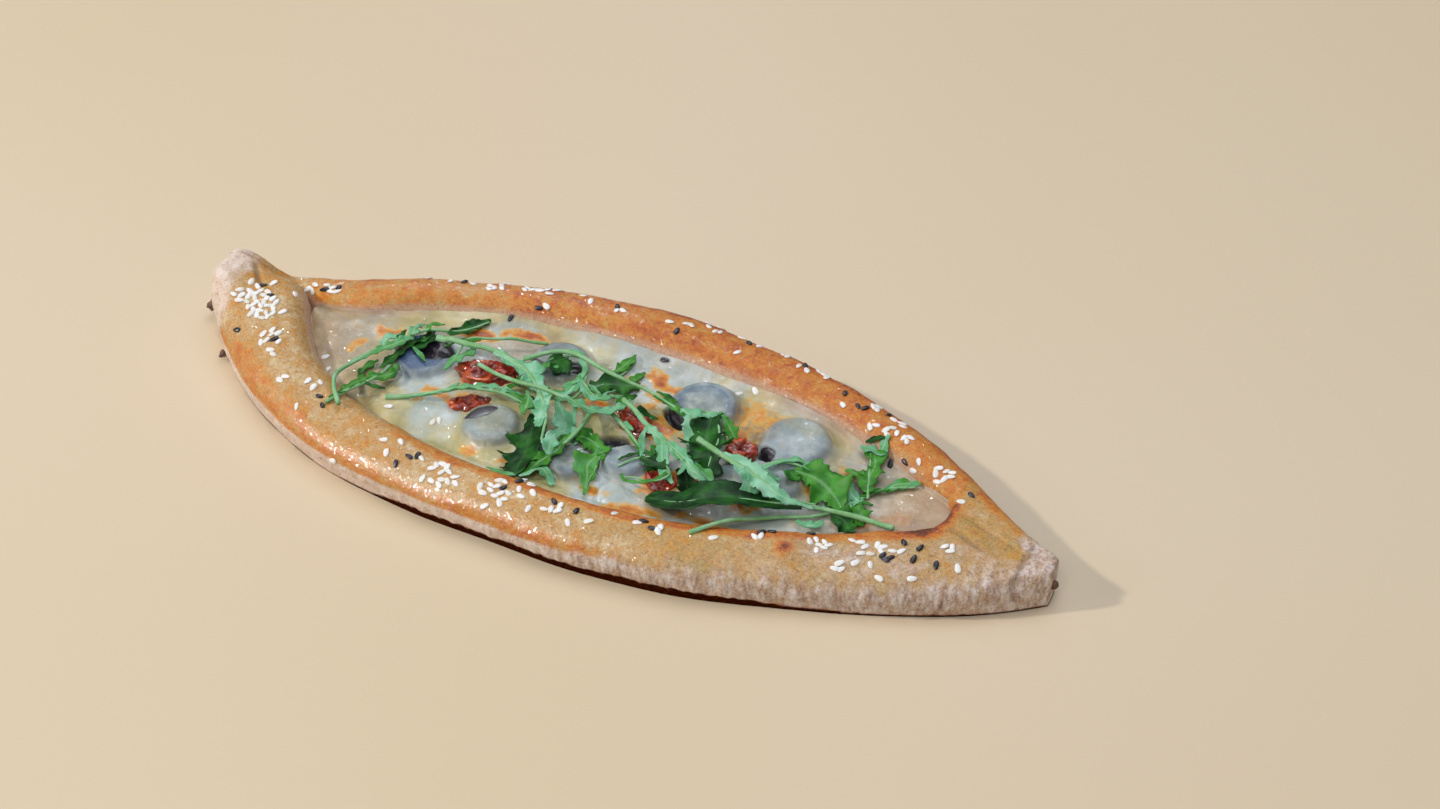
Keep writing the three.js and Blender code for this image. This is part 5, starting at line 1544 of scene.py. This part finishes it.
def seed_shape(half_long, half_wide, half_high):
    tilt = np.linspace(0.001, math.pi - 0.001, SEED_RINGS)[:, None]
    turn = np.linspace(0, 2 * math.pi, SEED_SIDES, endpoint=False)[None, :]
    forward = np.cos(tilt) + 0 * turn
    slim = np.sin(tilt) ** SEED_FULLNESS * (1 - SEED_TAPER * forward)
    shape = [half_long * forward, half_wide * slim * np.cos(turn), half_high * slim * np.sin(turn)]
    return np.stack(shape, -1).reshape(-1, 3)


def free_spot(cluster, taken, rng):
    cx, cy, spread = cluster[:3]
    for _ in range(TRIES):
        angle, out = rng.uniform(0, 2 * math.pi), spread * math.sqrt(rng.random())
        spot = (cx + out * math.cos(angle), cy + ACROSS_SHARE * out * math.sin(angle))
        if all(math.dist(spot, other) > SEED_GAP for other in taken):
            return spot
    return None


def scatter(name, column, size, taken, rng):
    parts, faces, tint = [], [], []
    shell, in_one = capped(SEED_RINGS, SEED_SIDES), SEED_RINGS * SEED_SIDES
    for cluster in CLUSTERS:
        for _ in range(cluster[column]):
            spot = free_spot(cluster, taken, rng)
            landed = spot and ground_below(*spot)
            if not landed:
                continue
            taken.append(spot)
            place, normal = landed
            lean = [rng.uniform(-SEED_LEAN, SEED_LEAN) for _ in range(2)]
            normal = (normal + Vector((*lean, 0))).normalized()
            heading = rng.uniform(0, 2 * math.pi)
            ahead = Vector((math.cos(heading), math.sin(heading), 0))
            ahead = (ahead - normal * ahead.dot(normal)).normalized()
            frame_of_seed = np.array([ahead, normal.cross(ahead), normal])
            grow = rng.uniform(SMALLEST, LARGEST)
            seed = seed_shape(*(grow * s for s in size)) @ frame_of_seed
            faces += [[i + in_one * len(parts) for i in face] for face in shell]
            parts.append(to_drawing(place) + np.array(normal) * SEED_SEAT * size[2] + seed)
            tint += [rng.random()] * in_one
    piece = make_piece(name, np.vstack(parts), faces, [])
    paint(piece, "tint", tint)
    return piece, len(parts)


WHITE_SIZE, BLACK_SIZE = (1.55, 0.92, 0.34), (1.55, 0.85, 0.48)
rng = random.Random(7)
taken = []
white_seeds, white_count = scatter("white_sesame", WHITE, WHITE_SIZE, taken, rng)
black_seeds, black_count = scatter("black_seeds", BLACK, BLACK_SIZE, taken, rng)
print(white_count, "white and", black_count, "black seeds lie on the bread")

# %% [markdown]
# ## Burnt bits
# Where dough or fat ran out on the hot stone a few small bits are burnt hard. Two stick to the
# left tip and one to the right end. Each is a ball with a place and a radius, made uneven.

# %% Burnt bits
BITS = [(-157, 6, 5, 2.0), (-142, -12.5, 3, 1.4), (150.5, -1, 7, 1.5)]
BIT_UNEVENNESS = 0.5
bit_parts, bit_faces = [], []
for x, y, z, radius in BITS:
    ball = seed_shape(radius, radius, radius)
    uneven = 1 + BIT_UNEVENNESS * lumps(ball + (x, y, z), 2.2, 2, 80)
    start = len(ball) * len(bit_parts)
    bit_faces += [[i + start for i in face] for face in capped(SEED_RINGS, SEED_SIDES)]
    bit_parts.append(ball * uneven[:, None] + (x, y, z))
burnt = make_piece("burnt_bits", np.vstack(bit_parts), bit_faces, [])
char = Finish("char", 0.75)
char.set(Base_Color=char.ramp(char.spots(600, 3), (0.35, "4a3026"), (0.6, "7d5b48")))
char.set(Normal=char.bumps(char.spots(900, 3), 0.6, 0.5))
char.dress(burnt)
print(len(BITS), "burnt bits")

# %% [markdown]
# ## Seed materials
# Hulled sesame is ivory with a soft sheen, and each seed differs a little. Black seeds are
# nearly black with a blue gleam on a finely pitted skin.

# %% Seed finishes
ivory = Finish("white_seed", 0.45, Subsurface_Weight=0.1, Subsurface_Scale=0.001)
ivory.set(Base_Color=ivory.ramp(ivory.painted("tint"), (0.0, "eeeae0"), (0.3, "f8f8f6"), (1.0, "fdfdff")))
ivory.set(Normal=ivory.bumps(ivory.spots(1500, 2), 0.2, 0.2))
ivory.dress(white_seeds)
jet = Finish("black_seed", 0.4)
jet.set(Base_Color=jet.ramp(jet.painted("tint"), (0.0, "17141a"), (1.0, "2c2a36")))
jet.set(Normal=jet.bumps(jet.spots(1800, 2), 0.4, 0.25))
jet.dress(black_seeds)
print("seed nodes:", len(ivory.tree.nodes), "and", len(jet.tree.nodes))

# %% [markdown]
# ## Floor
# A plain pale floor, large enough that its edge never shows.

# %% Floor
FLOOR_HALF = 4
corners = [(-1, -1), (1, -1), (1, 1), (-1, 1)]
floor_mesh = bpy.data.meshes.new("floor")
floor_mesh.from_pydata([(FLOOR_HALF * x, FLOOR_HALF * y, 0) for x, y in corners], [], [(0, 1, 2, 3)])
floor = bpy.data.objects.new("floor", floor_mesh)
bpy.context.scene.collection.objects.link(floor)
paper = Finish("floor_paper", 0.9)
paper.set(Base_Color=paper.ramp(paper.spots(3, 1), (0.3, "e4d5bd"), (0.7, "e1d0b2")))
paper.dress(floor)
floor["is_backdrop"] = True
print("floor of", 2 * FLOOR_HALF, "m at z = 0")

# %% [markdown]
# ## Light
# A small window at the left gives the shadow its direction, a wide panel above and a softer
# front light the filling, and the world fills in the rest. The window gives no reflection.
# Gloss comes from two more lamps that light nothing else: one glints along the near rim and
# one from behind puts sparks on the cheese. A lamp has a name, a place and a size in metres, a
# power in watts and a colour, and looks at the middle of the loaf.

# %% Lights
WORLD_STRENGTH = 0.22
LAMPS = [
    ("window", (-1.3, -0.75, 1.15), 0.12, 15, "fff4e6"),
    ("panel", (0.1, 0.5, 1.7), 1.3, 11.5, "f2f6ff"),
    ("front", (0.1, -1.0, 1.55), 0.7, 7, "ffffff"),
    ("glint", (-1.2, -1.2, 0.82), 0.16, 48, "fff8f8"),
    ("sparks", (-0.7, 0.95, 1.25), 0.1, 11, "f4f8ff"),
]


def area_light(name, place, size, power, colour):
    lamp = bpy.data.lights.new(name, "AREA")
    lamp.size = size
    lamp.energy = power
    lamp.color = linear(colour)[:3]
    light = bpy.data.objects.new(name, lamp)
    light.location = place
    light.rotation_euler = (-Vector(place)).to_track_quat("-Z", "Y").to_euler()
    bpy.context.scene.collection.objects.link(light)
    return light


lights = {lamp[0]: area_light(*lamp) for lamp in LAMPS}
lights["window"].visible_glossy = False
for name in ("glint", "sparks"):
    lights[name].visible_diffuse = False
world = bpy.data.worlds.new("soft_room")
world.use_nodes = True
background = world.node_tree.nodes["Background"]
background.inputs["Color"].default_value = linear("fbf7f2")
background.inputs["Strength"].default_value = WORLD_STRENGTH
bpy.context.scene.world = world
bpy.context.scene.view_settings.view_transform = "Standard"
print(len(lights), "lamps and a pale world")

# %% [markdown]
# ## Camera
# The camera looks down on the loaf from the near side and a little from the right, with a long
# lens, so that the shape isn't distorted.

# %% Camera
AZIMUTH, ELEVATION, DISTANCE = 24.84, 42, 864.8
FOCAL_LENGTH, SENSOR_WIDTH = 65, 36
AIM = (20.12, 37.77, 0)
turn, rise = math.radians(AZIMUTH), math.radians(ELEVATION)
back = Vector((math.sin(turn) * math.cos(rise), -math.cos(turn) * math.cos(rise), math.sin(rise)))
lens = bpy.data.cameras.new("camera")
lens.lens = FOCAL_LENGTH
lens.sensor_width = SENSOR_WIDTH
camera = bpy.data.objects.new("camera", lens)
aim = Vector(to_frame(AIM))
aim.z = 0
camera.location = aim + back * DISTANCE * MM
camera.rotation_euler = (-back).to_track_quat("-Z", "Y").to_euler()
bpy.context.scene.collection.objects.link(camera)
bpy.context.scene.camera = camera
print("camera at", [round(c, 3) for c in camera.location])

# %% [markdown]
# ## The size
# The boxes of the imported model and of the dressed scene are gathered and printed.

# %% Sizes and finish
bpy.context.view_layer.update()
dressed_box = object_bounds()
sizes = {"cad": [list(corner) for corner in cad_box], "visual": [list(corner) for corner in dressed_box]}
print("boxes", sizes)
